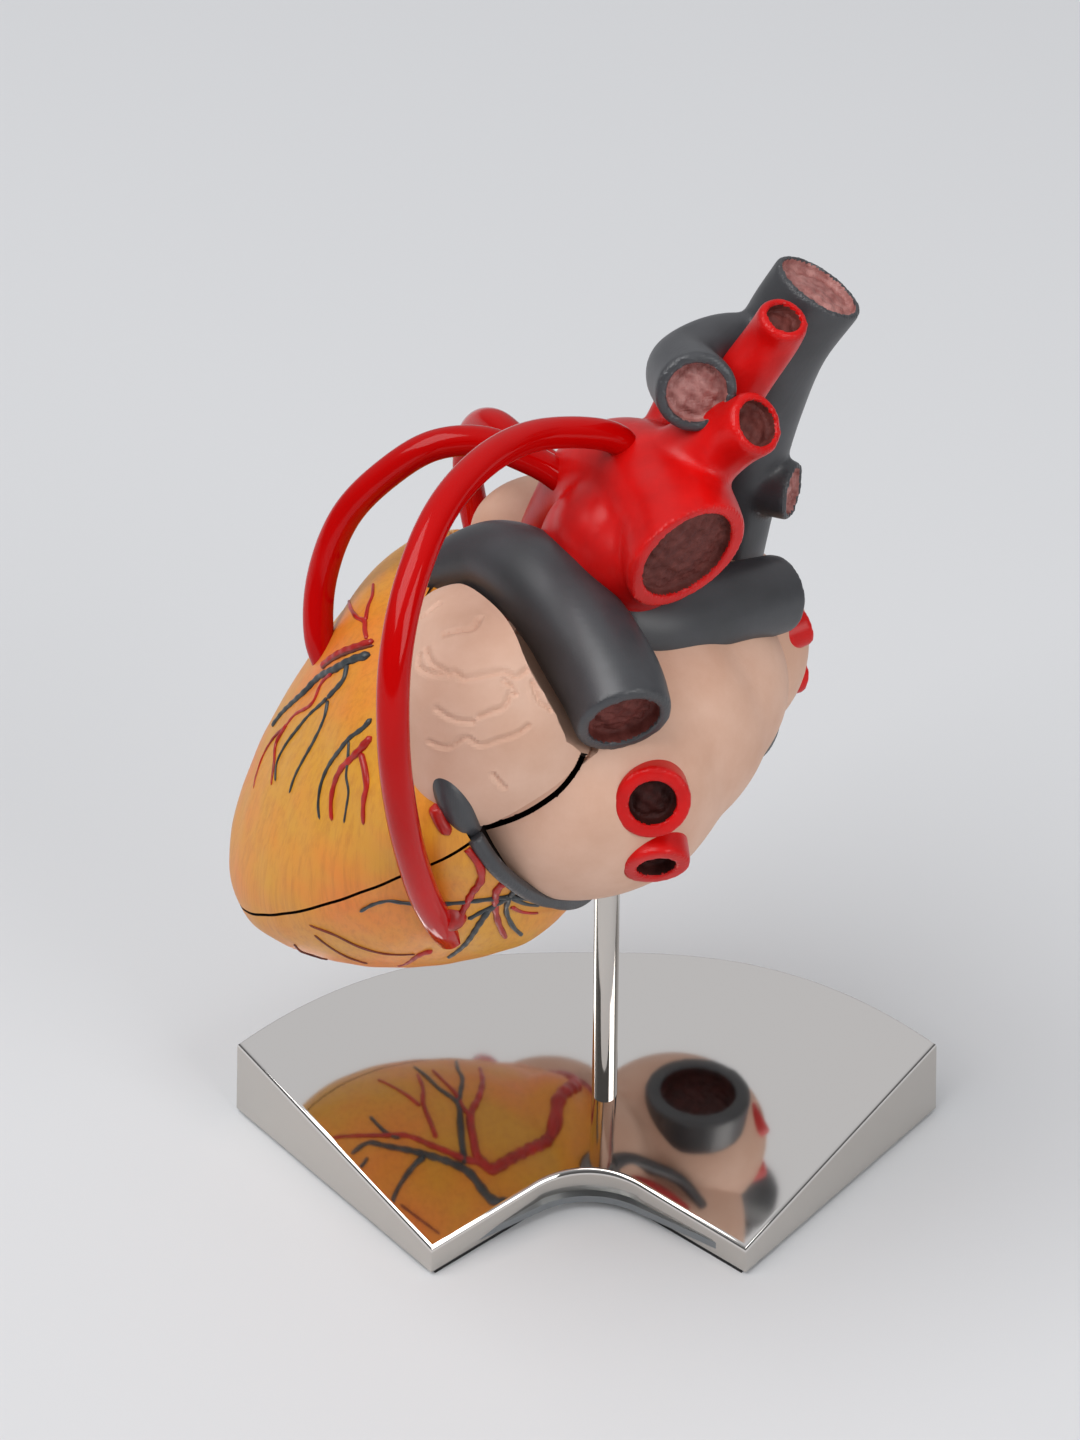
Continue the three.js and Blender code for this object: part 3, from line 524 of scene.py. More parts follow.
# Vinyl brushed with ochre acrylic: satin, with 26 mm clouds of orange and darker strokes 17 mm long
stroke_turn = (0.0, 0.88, 0.1)  # radians, which lays the strokes along the casting
painted_muscle, tree, shader, place = new_material("vinyl_painted_ochre", Roughness=0.42)
patches = add_node(tree, "TexNoise", Vector=place, Scale=38.0, Detail=3.0, Roughness=0.55)
blush = add_node(tree, "MapRange", Value=patches.outputs["Fac"], From_Min=0.38, From_Max=0.66)
ochre_to_orange = add_node(tree, "Mix", {"data_type": "RGBA"}, Factor=blush.outputs["Result"],
                           _6=linear("#d79729"), _7=linear("#e67d29"))
brushing = add_node(tree, "Mapping", Vector=place, Rotation=stroke_turn, Scale=(900.0, 900.0, 60.0))
streaks = add_node(tree, "TexNoise", Vector=brushing.outputs["Vector"], Scale=1.0, Detail=4.0, Roughness=0.7)
share = add_node(tree, "MapRange", Value=streaks.outputs["Fac"], From_Min=0.45, From_Max=0.75, To_Max=0.45)
brushed = add_node(tree, "Mix", {"data_type": "RGBA"}, Factor=share.outputs["Result"],
                   _6=ochre_to_orange.outputs[2], _7=linear("#b0601c"))
tree.links.new(brushed.outputs[2], shader.inputs["Base Color"])
bump = add_node(tree, "Bump", Height=streaks.outputs["Fac"], Strength=0.25, Distance=0.0002)
tree.links.new(bump.outputs["Normal"], shader.inputs["Normal"])

# The same vinyl inside, brushed meat red over moulded strands 2.4 mm wide: dull and stringy
inner_muscle, tree, shader, place = new_material("vinyl_painted_inner_muscle", Roughness=0.5)
strands = add_node(tree, "Mapping", Vector=place, Rotation=stroke_turn, Scale=(420.0, 420.0, 45.0))
fibres = add_node(tree, "TexNoise", Vector=strands.outputs["Vector"], Scale=1.0, Detail=3.0)
meat = add_node(tree, "Mix", {"data_type": "RGBA"}, Factor=fibres.outputs["Fac"],
                _6=linear("#8a3b2c"), _7=linear("#b5604a"))
tree.links.new(meat.outputs[2], shader.inputs["Base Color"])
bump = add_node(tree, "Bump", Height=fibres.outputs["Fac"], Strength=0.6, Distance=0.0006)
tree.links.new(bump.outputs["Normal"], shader.inputs["Normal"])


def clouded(name, colours, size_mm, **surface):
    """A material whose colour wanders between two, in clouds of a given size."""
    made, tree, shader, place = new_material(name, **surface)
    clouds = add_node(tree, "TexNoise", Vector=place, Scale=1000 / size_mm)
    blend = add_node(tree, "Mix", {"data_type": "RGBA"}, Factor=clouds.outputs["Fac"],
                     _6=linear(colours[0]), _7=linear(colours[1]))
    tree.links.new(blend.outputs[2], shader.inputs["Base Color"])
    return made


# Painted shade in the joints: nearly black, without a gloss, standing in for the shade deep in the gaps
# between the castings
joint_shade_paint = clouded("painted_joint_shade", ("#120c0a", "#1e1512"), 2.5, Roughness=0.8,
                     Specular_IOR_Level=0.1)
for casting in (front_wall, rear_wall):
    middles = face_centres(casting)
    reach = np.linalg.norm(egg_surface(middles) - ventricle_centre, axis=1)
    depth = reach - np.linalg.norm(middles - ventricle_centre, axis=1)
    rim = (np.abs((middles - parting_point) @ parting_normal) < seam_gap * 0.6) & (depth > joint_gap)
    at_groove = np.abs((middles - groove_point) @ groove_normal) < joint_face
    # Faces on the parting and on the groove lie in the gaps, so they take the painted shade
    coat_of_each = np.where(rim | at_groove, 2, depth > wall - seam_gap)
    paint(casting, painted_muscle, inner_muscle, joint_shade_paint, parts=coat_of_each)
    casting.data.set_sharp_from_angle(angle=sharp_turn)


# Atria: two thin-walled castings behind the groove, smoothed by hand and painted a matt flesh
# colour. The left one swells out in three bulges towards the lung veins.
def kneaded(name, parts, voxel, rounds, body, replaced, slot):
    """Closed surfaces fused on voxels of a given size, and softened in so many rounds."""
    piece = new_piece(name, *joined(*parts), body, replaced, slot)
    melt(piece, voxel, rounds)
    return piece


def painted(name, colours, roughness, size_mm, bump_mm=0.05, worn=None, **surface):
    """A brushed coat of paint: two colours in patches of a given size, a third where edges are
    worn, a rougher and a smoother share, and the faint lumps that brushing leaves."""
    made, tree, shader, place = new_material(name, **surface)
    noise = add_node(tree, "TexNoise", Vector=place, Scale=1000 / size_mm, Detail=5.0, Roughness=0.6)
    share = add_node(tree, "MapRange", Value=noise.outputs["Fac"], From_Min=0.35, From_Max=0.65)
    colour = add_node(tree, "Mix", {"data_type": "RGBA"}, Factor=share.outputs["Result"],
                      _6=linear(colours[0]), _7=linear(colours[1])).outputs[2]
    if worn:
        edge = add_node(tree, "NewGeometry").outputs["Pointiness"]
        scuffs = add_node(tree, "TexNoise", Vector=place, Scale=1000 / size_mm * 3, Detail=4.0)
        edge = add_node(tree, "Math", {"operation": "MULTIPLY_ADD"}, _0=scuffs.outputs["Fac"],
                        _1=0.12, _2=edge)
        rub = add_node(tree, "MapRange", Value=edge.outputs[0], From_Min=0.63, From_Max=0.71)
        colour = add_node(tree, "Mix", {"data_type": "RGBA"}, Factor=rub.outputs["Result"],
                          _6=colour, _7=linear(worn)).outputs[2]
    tree.links.new(colour, shader.inputs["Base Color"])
    gloss = add_node(tree, "MapRange", Value=noise.outputs["Fac"], To_Min=roughness - 0.07,
                     To_Max=roughness + 0.07)
    tree.links.new(gloss.outputs["Result"], shader.inputs["Roughness"])
    bump = add_node(tree, "Bump", Height=noise.outputs["Fac"], Strength=0.5, Distance=bump_mm * MM)
    tree.links.new(bump.outputs["Normal"], shader.inputs["Normal"])
    return made


def atrium_half(gap):
    """The side of the groove plane where the atria are."""
    return cutter(*slab(groove_normal, groove_point + gap * groove_normal))


def pouch(grow, rows, columns):
    """The left auricle on a grid: an ellipsoid whose unit vector u is divided by the n-norm of u
    (the n-th root of the sum of its parts' n-th powers), with n rising from 2 on the side of the
    lung veins to 3.4 on the other, which squares its corners there, and a little below."""
    points, faces = sphere((0, 0, 0), (1, 1, 1), rows, columns)
    right, low = np.clip(points[:, :1], 0, 1), np.clip(-points[:, 2:], 0, 1)
    power = 2 + 1.4 * np.clip(0.25 - points[:, :1], 0, 1) + 0.9 * right * low
    points = points / (np.abs(points) ** power).sum(1, keepdims=True) ** (1 / power)
    return np.asarray(left_auricle_centre) + points * (np.asarray(left_auricle_radii) + grow), faces


# Acrylic over vinyl: matt, chalky flesh in two tones, with the faint lumps of the brush
flesh_paint = painted("vinyl_painted_flesh", ("#d7b09a", "#cda28a"), 0.6, 14)
left_atrium_bulges = [((-6, -19, 115), (28.5, 27, 26.3)), ((3.9, -10.5, 117.2), (24.8, 25.7, 22.8)),
                      ((12.6, -2, 118.4), (20.2, 23, 19))]
right_atrium_bulge = (16.9, 16.8, 114), (20.9, 18.5, 21.9)
left_auricle_centre, left_auricle_radii = (-19.5, -31, 133.5), (17.6, 17, 22.6)
right_auricle_centre, right_auricle_radii = (-11, 30, 130), (15, 9.5, 12)
left_bulges = [sphere(*bulge) for bulge in left_atrium_bulges]
left_atrium = kneaded("left_atrium_casting", left_bulges, 0.9, 30, "rear_heart", ["left_atrium"], "atrium")
skin = mesh_points(left_atrium)
atrium_middle, atrium_reach = (0, -12, 116), 26
swell_height, swell_size, swell_seed = 0.25, 16, 5
swell = swell_height * ripple(skin, swell_size, swell_seed)
set_points(left_atrium, skin + swell[:, None] * (skin - atrium_middle) / atrium_reach)
left_solid = new_piece("clay_left", [], [], None)
left_solid.data = left_atrium.data.copy()
pocket_room = 1.4
auricle_pocket = cutter(*pouch(pocket_room, 90, 140))
carve(auricle_pocket, "INTERSECT", front_half(-seam_gap / 2))
carve(left_atrium, "INTERSECT", atrium_half(joint_gap / 2))
carve(left_atrium, "DIFFERENCE", auricle_pocket)
right_bulges = [sphere(*right_atrium_bulge), sphere(crux_centre, crux_radii)]
right_atrium = kneaded("right_atrium_casting", right_bulges, 0.9, 30,
                       "rear_heart", ["right_atrium"], "atrium")
carve(right_atrium, "INTERSECT", atrium_half(joint_gap / 2))
carve(right_atrium, "DIFFERENCE", left_solid)

# Auricles: blunt ear-shaped pouches that lap over the ventricles, with creases pressed into the
# left one while it was wet. The left one is fixed to the front wall and lifts off with it.
left_auricle = kneaded("left_auricle_casting", [pouch(0, 150, 220)], 0.5, 2,
                       "front_heart", ["left_auricle"], "atrium")
creases = [
    [(-32, -30, 150), (-31, -30, 151), (-29, -29, 152)],
    [(-28, -37, 152), (-26, -37, 153), (-24, -37, 154), (-23, -35, 155)],
    [(-31, -38, 148), (-31, -39, 147), (-29, -41, 147), (-26, -42, 148), (-25, -43, 148), (-22, -43, 149),
     (-19, -43, 150), (-17, -43, 149), (-15, -42, 150)],
    [(-30, -38, 149), (-29, -40, 148), (-27, -42, 148)],
    [(-23, -46, 143), (-21, -46, 144), (-19, -46, 145), (-18, -45, 147)],
    [(-30, -44, 137), (-28, -46, 137), (-25, -46, 139), (-23, -47, 138), (-20, -47, 139), (-17, -47, 140),
     (-15, -46, 141)],
    [(-35, -38, 137), (-33, -40, 141)],
    [(-29, -44, 143), (-27, -45, 142), (-24, -46, 142)],
    [(-14, -43, 148), (-13, -44, 145), (-11, -44, 143)],
    [(-21, -48, 132), (-19, -48, 129)],
    [(-19, -44, 149), (-18, -44, 148), (-17, -45, 147)],
]


def smooth_path(stops, step=0.7):
    """Rows of x, y, z and radius along a smooth curve through the stops: on each span a cubic whose
    end slopes are those of a centripetal spline, sampled again at even steps of length."""
    stops = np.asarray(stops, float)
    rim = np.concatenate([[2 * stops[0] - stops[1]], stops, [2 * stops[-1] - stops[-2]]])
    gap = np.sqrt(np.linalg.norm(np.diff(rim[:, :3], axis=0), axis=1))[:, None]
    slope = np.diff(rim, axis=0) / gap
    tangent = slope[:-1] + slope[1:] - (rim[2:] - rim[:-2]) / (gap[:-1] + gap[1:])
    knot = np.concatenate([[0], np.cumsum(gap[1:-1, 0])])
    at = np.linspace(0, knot[-1], 50 * len(stops))
    i = np.clip(np.searchsorted(knot, at, side="right") - 1, 0, len(stops) - 2)
    width = gap[1:-1][i]
    s = (at - knot[i])[:, None] / width
    curve = ((2 * s ** 3 - 3 * s ** 2 + 1) * stops[i] + (s ** 3 - 2 * s ** 2 + s) * width * tangent[i]
             + (3 * s ** 2 - 2 * s ** 3) * stops[i + 1] + (s ** 3 - s ** 2) * width * tangent[i + 1])
    length = np.concatenate([[0], np.cumsum(np.linalg.norm(np.diff(curve[:, :3], axis=0), axis=1))])
    even = np.linspace(0, length[-1], max(4, int(length[-1] / step) + 1))
    return np.stack([np.interp(even, length, curve[:, k]) for k in range(4)], 1)


def press_creases(piece, centre, lines, width, deep, lip):
    """Presses lines into a piece, seen from its centre: at a distance d from a line, measured on a
    sphere of the line's radius, a point moves in by deep exp(-(d / width)^2) and out by
    lip exp(-((d - 2 width) / width)^2)."""
    points = mesh_points(piece)
    ray = points - centre
    reach = np.linalg.norm(ray, axis=1, keepdims=True)
    nearest = np.full(len(points), 99.0)
    for line in lines:
        line = smooth_path([(*p, 1) for p in line], 0.5)[:, :3] - centre
        radius = np.linalg.norm(line, axis=1).mean()
        spots = line / np.linalg.norm(line, axis=1, keepdims=True) * radius
        gaps = np.linalg.norm((ray / reach * radius)[:, None] - spots[None], axis=-1)
        nearest = np.minimum(nearest, gaps.min(1))
    move = lip * np.exp(-((nearest - 2 * width) / width) ** 2) - deep * np.exp(-(nearest / width) ** 2)
    set_points(piece, points + ray / reach * move[:, None])


right_auricle = kneaded("right_auricle_casting", [sphere(right_auricle_centre, right_auricle_radii)], 0.7, 4,
                        "rear_heart", ["right_auricle"], "atrium")
crease_width, crease_depth, crease_lip = 0.45, 0.5, 0.08
press_creases(left_auricle, np.array(left_auricle_centre), creases, crease_width, crease_depth, crease_lip)
carve(left_auricle, "INTERSECT", front_half(seam_gap / 2))
viewer_way = np.array([0, -0.81, 0.59])  # from the heart to the camera
seam_width, seam_reach, seam_depth, seam_span = 1.0, 7.0, 5.0, 20
seam_stops = [(-24.1, -40.8, 114.4), (-20.4, -42.7, 117.1), (-16.8, -44.3, 119.9), (-13.3, -44.7, 122.5),
              (-9.2, -43.7, 125.6), (-6.3, -41.9, 129), (-5.3, -40.9, 131)]
seam_line = smooth_path([(*p, 0) for p in seam_stops], 0.3)[:, :3]


def curtain(line, width, reach, depth):
    """A thin curtain along a line: at each of its points a cross-section with the given width across
    the line and the viewer's direction, from the reach before the line to the depth behind it."""
    across = np.cross(np.gradient(line, axis=0), viewer_way)
    across *= width / 2 / np.linalg.norm(across, axis=1, keepdims=True)
    near, far = line + reach * viewer_way, line - depth * viewer_way
    points = np.stack([near - across, near + across, far + across, far - across], 1).reshape(-1, 3)
    return cutter(*outward(points, grid_faces(len(line), 4)))


def in_seam(piece):
    """Whether each face lies in the seam: nearer to its line than half its width, seen from the
    front. Only the faces near the line's middle are measured."""
    spots, line = [p - np.outer(p @ viewer_way, viewer_way) for p in (face_centres(piece), seam_line)]
    near = np.flatnonzero(np.linalg.norm(spots - line.mean(0), axis=1) < seam_span)
    found = np.zeros(len(spots), bool)
    found[near] = np.linalg.norm(spots[near, None] - line[None], axis=-1).min(1) < seam_width / 2 + 0.05
    return found


for casting in (left_auricle, left_atrium):
    carve(casting, "DIFFERENCE", curtain(seam_line[::2], seam_width, seam_reach, seam_depth))
paint(right_auricle, flesh_paint)


# Great vessels: thick vinyl tubes cast in one with their branches, painted scarlet or slate with
# lips that are rubbed paler. Each open end is a shallow hollow with a stippled red-brown floor.
def tube(curve, turns=32):
    """A ring at each row of a curve: for angle a the point is centre + radius (cos a, sin a) in a
    frame square to the curve, turned from the one direction that the curve follows least."""
    centre, radius = curve[:, :3], curve[:, 3]
    along = np.gradient(centre, axis=0)
    along /= np.linalg.norm(along, axis=1, keepdims=True)
    side = np.cross(along, np.linalg.svd(along)[2][-1])
    side /= np.linalg.norm(side, axis=1, keepdims=True)
    other = np.cross(along, side)
    angle = np.linspace(0, 2 * math.pi, turns, endpoint=False)[None, :, None]
    spoke = np.cos(angle) * side[:, None] + np.sin(angle) * other[:, None]
    points = centre[:, None] + radius[:, None, None] * spoke
    return points.reshape(-1, 3), grid_faces(len(curve), turns)


def end_of(stops, wall, depth):
    """Where a vessel ends: the middle, the outward direction, and the hollow's radius and depth."""
    stops = np.asarray(stops, float)
    way = stops[-1, :3] - stops[-2, :3]
    return stops[-1, :3], way / np.linalg.norm(way), stops[-1, 3] - wall, depth


floor_bulge, floor_band, past_lip = 0.5, 1.2, 4
grain_height, grain_size, grain_seed = 0.35, 2.2, 11


def hollow(piece, ends, voxel=0.5, rounds=3):
    """Sinks a hollow into each end, softens its lip, roughens its floor, and says which faces are
    inside. The floor bulges up a little in the middle and drops at its rim, and the grain on it
    fades out before the wall."""
    for centre, way, radius, depth in ends:
        profile = [(hub, -depth + floor_bulge), (radius * 0.6, -depth + 0.6 * floor_bulge),
                   (radius * 0.93, -depth - 0.4 * floor_bulge), (radius, -depth + 0.6 * floor_bulge),
                   (radius, past_lip), (hub, past_lip)]
        carve(piece, "DIFFERENCE", cutter(*lathe(profile, centre, way, 48)))
    melt(piece, voxel, rounds)
    points = mesh_points(piece)
    middles = face_centres(piece)
    inside = np.zeros(len(middles), bool)
    for centre, way, radius, depth in ends:
        height = (points - centre) @ way
        off = np.linalg.norm(points - centre - height[:, None] * way, axis=1)
        share = np.clip((radius - 0.3 - off) / 0.8, 0, 1) * (np.abs(height + depth) < floor_band)
        points += (share * grain_height * ripple(points, grain_size, grain_seed))[:, None] * way
        height = (middles - centre) @ way
        off = np.linalg.norm(middles - centre - height[:, None] * way, axis=1)
        inside |= (off < radius + 0.2) & (height < -0.5) & (height > -depth - floor_band)
    set_points(piece, points)
    return inside


# Scarlet is even and half glossy, slate near black with a soft shine, and both are worn at the lips
scarlet_paint = painted("vinyl_painted_scarlet", ("#d20806", "#b80605"), 0.34, 12, 0.03, "#d8382e",
                        Specular_IOR_Level=0.3)
slate_paint = painted("vinyl_painted_slate", ("#3a3b3f", "#303134"), 0.42, 14, 0.03, "#6c6e72",
                      Specular_IOR_Level=0.7)
# Stippled lumens: a rough clotted red-brown, with painted light in a paler copy where the light gets in, and
# painted shade in a darker copy for the deep ones
clot_paint = painted("rough_painted_lumen", ("#54231e", "#6e3832"), 0.6, 2.5, 0.3, Specular_IOR_Level=0.25)
lit_lumen_paint = painted("lumen_with_painted_light", ("#854a45", "#b07a74"), 0.5, 2.5, 0.4)
shaded_lumen_paint = painted("lumen_with_painted_shade", ("#2c0f0c", "#431a16"), 0.6, 2.5, 0.3,
                     Specular_IOR_Level=0.2)
aorta_stops = [(-17, 14, 118, 8.4), (-11, 15, 130, 8.8), (-6, 14, 143, 9.6), (0, 8, 156, 10.8),
               (7, -3, 161, 11.4), (11.3, -13, 160, 11.3), (13, -25, 157.9, 11.1)]
brachiocephalic = [(8, 7, 160, 5.4), (12, 14, 166, 5.2), (15, 19, 170, 4.9)]
carotid = [(14, 3, 163, 6), (22.5, 7, 177, 5.2), (28.3, 8.4, 186, 4.9), (29.9, 7, 190.5, 4.7)]
subclavian = [(9, -3, 163, 8.5), (19.8, -5.2, 173.7, 6.5), (25, -9.3, 179, 5.7)]
aorta_end = np.array([12.9, -20.5, 158.8])
aorta_end_way = np.array([0.53, -0.82, -0.22])
aorta_end_way /= np.linalg.norm(aorta_end_way)
vessel_wall, vessel_hollow = 1.6, 2.2
aorta_bulges = [((-0.5, -5, 149), (12.8, 13, 14)), ((4, -12, 153.8), (11, 10.4, 9.8)),
                ((0, -7, 154), (11, 11, 11)), ((1.6, -9.8, 151), (11.6, 10.6, 10.6))]
aorta_parts = [tube(smooth_path(s)) for s in (aorta_stops, brachiocephalic, carotid, subclavian)]
aorta = kneaded("aorta_casting", aorta_parts + [sphere(*bulge) for bulge in aorta_bulges], 0.6, 16,
                "rear_heart", ["aorta"], "red_vessel")
carve(aorta, "DIFFERENCE", cutter(*slab(aorta_end_way, aorta_end)))
branch_ends = [end_of(s, vessel_wall, vessel_hollow) for s in (brachiocephalic, carotid, subclavian)]
inside = hollow(aorta, [*branch_ends, (aorta_end, aorta_end_way, 9.2, 1.8)])
paint(aorta, scarlet_paint, clot_paint, parts=inside)

trunk_stops = [(-36, 2.5, 134, 3.4), (-31, 1.2, 140.3, 4.8), (-21.2, -3, 146.2, 7.2),
               (-13.1, -12, 147.6, 8.6), (-7.9, -20, 146, 8.9), (-3.6, -28, 143.6, 9.3),
               (-0.3, -35, 141.3, 9.2), (1.8, -42, 138.7, 8.7)]
right_branch = [(-4, -15, 143, 7.8), (6.5, -10.5, 137.4, 9.5), (14.2, -6, 135.8, 9), (22, -1, 135, 7.9),
                (31.2, 6, 132.9, 7.3)]
lung_parts = [tube(smooth_path(s)) for s in (trunk_stops, right_branch)]
lung_arteries = kneaded("pulmonary_arteries_casting", lung_parts, 0.6, 10,
                        "rear_heart", ["pulmonary_arteries"], "blue_grey_vessel")
inside = hollow(lung_arteries, [end_of(trunk_stops, 2.3, 3),
                                end_of(right_branch, vessel_wall, vessel_hollow)])
paint(lung_arteries, slate_paint, clot_paint, parts=inside)


def shadow(stops, move, gap):
    """The room that a vessel needs, with a gap round it, when it has moved by so much."""
    return cutter(*tube(smooth_path(stops) + (*move, gap)))


carve(left_auricle, "DIFFERENCE", *[shadow(trunk_stops, -slide * lift_off, 1.4) for slide in (0, 4, 8, 12)],
      *[shadow(trunk_stops, lift * viewer_way, 1.9) for lift in (0, 5, 10, 15)])
carve(front_wall, "DIFFERENCE", *[shadow(trunk_stops, -slide * lift_off, seam_gap) for slide in (0, 2.5, 5)])

cava_stops = [(20, 22, 130, 8.6), (24, 22, 147, 7.4), (27.4, 22, 164, 7.7), (31, 21.4, 178, 8.5),
              (37, 22, 188.2, 8.9)]
left_vein = [(32, 22, 174, 6.4), (20.5, 17.5, 177.9, 6.3), (12.8, 8.2, 179.4, 6.6), (14.3, -7, 183.5, 7.3)]
azygos = [(24.5, 21, 147.5, 5.4), (33.8, 17.4, 147.5, 5.5)]
cava_parts = [tube(smooth_path(s)) for s in (cava_stops, left_vein, azygos)]
upper_cava = kneaded("superior_vena_cava_casting", cava_parts, 0.6, 10,
                     "rear_heart", ["superior_vena_cava"], "blue_grey_vessel")
inside = hollow(upper_cava, [end_of(cava_stops, 1.2, 1.8), end_of(left_vein, 2.0, vessel_hollow),
                             end_of(azygos, 1.2, 1.8)])
# Its hollows take the lumen paint with painted light
paint(upper_cava, slate_paint, lit_lumen_paint, parts=inside)
lower_cava_stops = [(21.2, 16, 101, 10.8), (21.7, 21.6, 93, 11.8)]
lower_cava = kneaded("inferior_vena_cava_casting", [tube(smooth_path(lower_cava_stops))], 0.6, 10,
                     "rear_heart", ["inferior_vena_cava"], "blue_grey_vessel")
# Its hollow takes the lumen paint with painted shade
paint(lower_cava, slate_paint, shaded_lumen_paint, parts=hollow(lower_cava, [end_of(lower_cava_stops, 3.6, 3.2)]))

lung_veins = {
    "upper_left": [(6.1, -36, 120.6, 6.9), (6.9, -43.6, 122.3, 6.9)],
    "lower_left": [(6.9, -36, 110.7, 6.2), (7.8, -42.9, 107.4, 6.2)],
    "upper_right": [(26, 8, 119.6, 4.1), (36.3, 13.4, 121, 4.1)],
    "lower_right": [(26, 14, 107.5, 4.2), (36.2, 19.4, 105.8, 4.2)],
}
for atrium in (left_atrium, right_atrium):
    for stops in [*lung_veins.values(), right_branch[-2:]]:
        beyond = tuple(1.6 * b - 0.6 * a for a, b in zip(*stops))
        carve(atrium, "DIFFERENCE", cutter(*tube(smooth_path([*stops, beyond], 0.5) - (0, 0, 0, 0.4), 48)))
cava_room = smooth_path(lower_cava_stops + [(22.2, 27.2, 85, 11.8)], 0.5) - (0, 0, 0, 0.6)
carve(right_atrium, "DIFFERENCE", cutter(*tube(cava_room, 48)))
for side_name, stops in lung_veins.items():
    vein = kneaded(f"{side_name}_lung_vein", [tube(smooth_path(stops, 0.5))], 0.5, 6, "rear_heart",
                   [f"{side_name}_pulmonary_vein"], "red_vessel")
    vein_wall = 1.7 if side_name.endswith("right") else 2.7
    inside = hollow(vein, [end_of(stops, vein_wall, 3)], 0.45, 4)
    # Their hollows take the lumen paint with painted shade
    paint(vein, scarlet_paint, shaded_lumen_paint, parts=inside)
paint(right_atrium, flesh_paint)
# The seam between the left atrium and its auricle takes the painted shade of the gap
for piece in (left_atrium, left_auricle):
    paint(piece, flesh_paint, joint_shade_paint, parts=in_seam(piece))


# Bypass grafts: three tubes of solid red PVC, 5.6 mm thick, bent warm and glued into sockets in the
# aorta and in the ventricles' walls. The one to the front lifts off with the front wall.
graft_radius = 2.8
graft_routes = {
    "margin": [(3, -2, 165), (1, -3, 171.3), (-11.3, -10, 177.2), (-21, -22, 180.3), (-29.2, -36, 178.6),
               (-34.3, -48, 171.7), (-36.8, -56, 161.8), (-37.3, -59.5, 148), (-36.3, -57, 130),
               (-33.6, -49, 108), (-30.9, -41.8, 94.4), (-29.3, -35.8, 86.6)],
    "front": [(-6, 6, 155), (-11.5, 7.3, 159), (-16, 8, 161.2), (-23, 8.5, 163.9), (-31.7, 8, 163.4),
              (-40.1, 7.5, 157.9), (-47.9, 6.5, 149.2), (-52.5, 4, 137), (-53, 0, 127), (-51, -2, 121)],
    "right": [(-6, 13, 152), (-15, 18, 156), (-21, 27, 156), (-25, 36, 149), (-26.5, 39.5, 139),
              (-25, 37, 129), (-22, 31, 119)],
}
# Extruded PVC: a deep even red with a wet gloss and sharp highlights
graft_plastic = clouded("glossy_red_pvc", ("#c40303", "#aa0101"), 16.7, Roughness=0.1,
                        Specular_IOR_Level=0.2)
for goal, route in graft_routes.items():
    stops = [(*p, graft_radius) for p in route]
    graft = new_piece(f"graft_tube_to_{goal}", *tube(smooth_path(stops, 0.8), 48),
                      "front_heart" if goal == "front" else "rear_heart", [f"graft_to_{goal}"], "graft_tube")
    paint(graft, graft_plastic)
    graft.data.set_sharp_from_angle(angle=sharp_turn)


# Coronary tree: arteries and veins modelled in low relief on the castings and picked out with a
# fine brush, each a round cord sunk by a third of its radius, tapering to where it ends.
def wall_surface(points, lift=0.0):
    """Moves points along their rays from the egg's centre onto the casting: the farther of the egg
    and of the second swelling, whose distance t along a ray d solves |(c + t d - k) / r| = 1."""
    ray = np.asarray(points, float) - ventricle_centre
    ray /= np.linalg.norm(ray, axis=-1, keepdims=True)
    reach = np.linalg.norm(egg_surface(points) - ventricle_centre, axis=-1)
    start = (ventricle_centre - crux_centre) / crux_radii
    way = ray / crux_radii
    a, b, c = (way ** 2).sum(-1), (way * start).sum(-1), (start ** 2).sum() - 1
    root = np.sqrt(np.maximum(b ** 2 - a * c, 0))
    reach = np.maximum(reach, np.where(b ** 2 > a * c, (root - b) / a, 0))
    reach -= groove_dip(ventricle_centre + ray * reach[..., None])
    return ventricle_centre + ray * (reach + lift)[..., None]


cord_step, cord_lift = 0.45, 0.15
hand_wobble, usual_reach, sunk_share = 0.12, 40, 0.3


def relief(name, lines, material, slot, replaced):
    """Cords along lines of (thickness at the start, thickness at the end, points), laid on the
    casting, and shared out between the front wall and the rest by the side of the parting plane."""
    shares = {"front_heart": [], "rear_heart": []}
    for first, last, points in lines:
        curve = smooth_path([(*p, 0) for p in points], cord_step)
        curve[:, :3] = wall_surface(curve[:, :3], cord_lift)
        curve[:, 3] = np.linspace(first, last, len(curve))
        order = np.arange(len(curve))
        edge = np.minimum(1, cord_step * np.minimum(order, order[::-1]) / curve[:, 3])
        curve[:, 3] *= np.sqrt(1.03 - (1 - edge) ** 2)
        curve[:, 3] *= 1 + hand_wobble * np.sin(curve[:, 0] * 2.1 + curve[:, 2] * 1.7)
        curve[:, :3] -= (curve[:, :3] - ventricle_centre) / usual_reach * sunk_share * curve[:, 3:]
        side = (curve[:, :3] - parting_point) @ parting_normal
        for body, keep in (("front_heart", side > seam_gap / 2), ("rear_heart", side < -seam_gap / 2)):
            cut = np.flatnonzero(np.diff(np.concatenate([[0], keep.astype(int), [0]])))
            for start, stop in zip(cut[::2], cut[1::2]):
                if stop - start > 4:
                    shares[body].append(tube(curve[start:stop], 10))
    for body, tubes in shares.items():
        if tubes:
            side_name = body.removesuffix("_heart")
            piece = new_piece(f"{name}_{side_name}", *joined(*tubes), body, replaced.get(body, ()), slot)
            paint(piece, material)


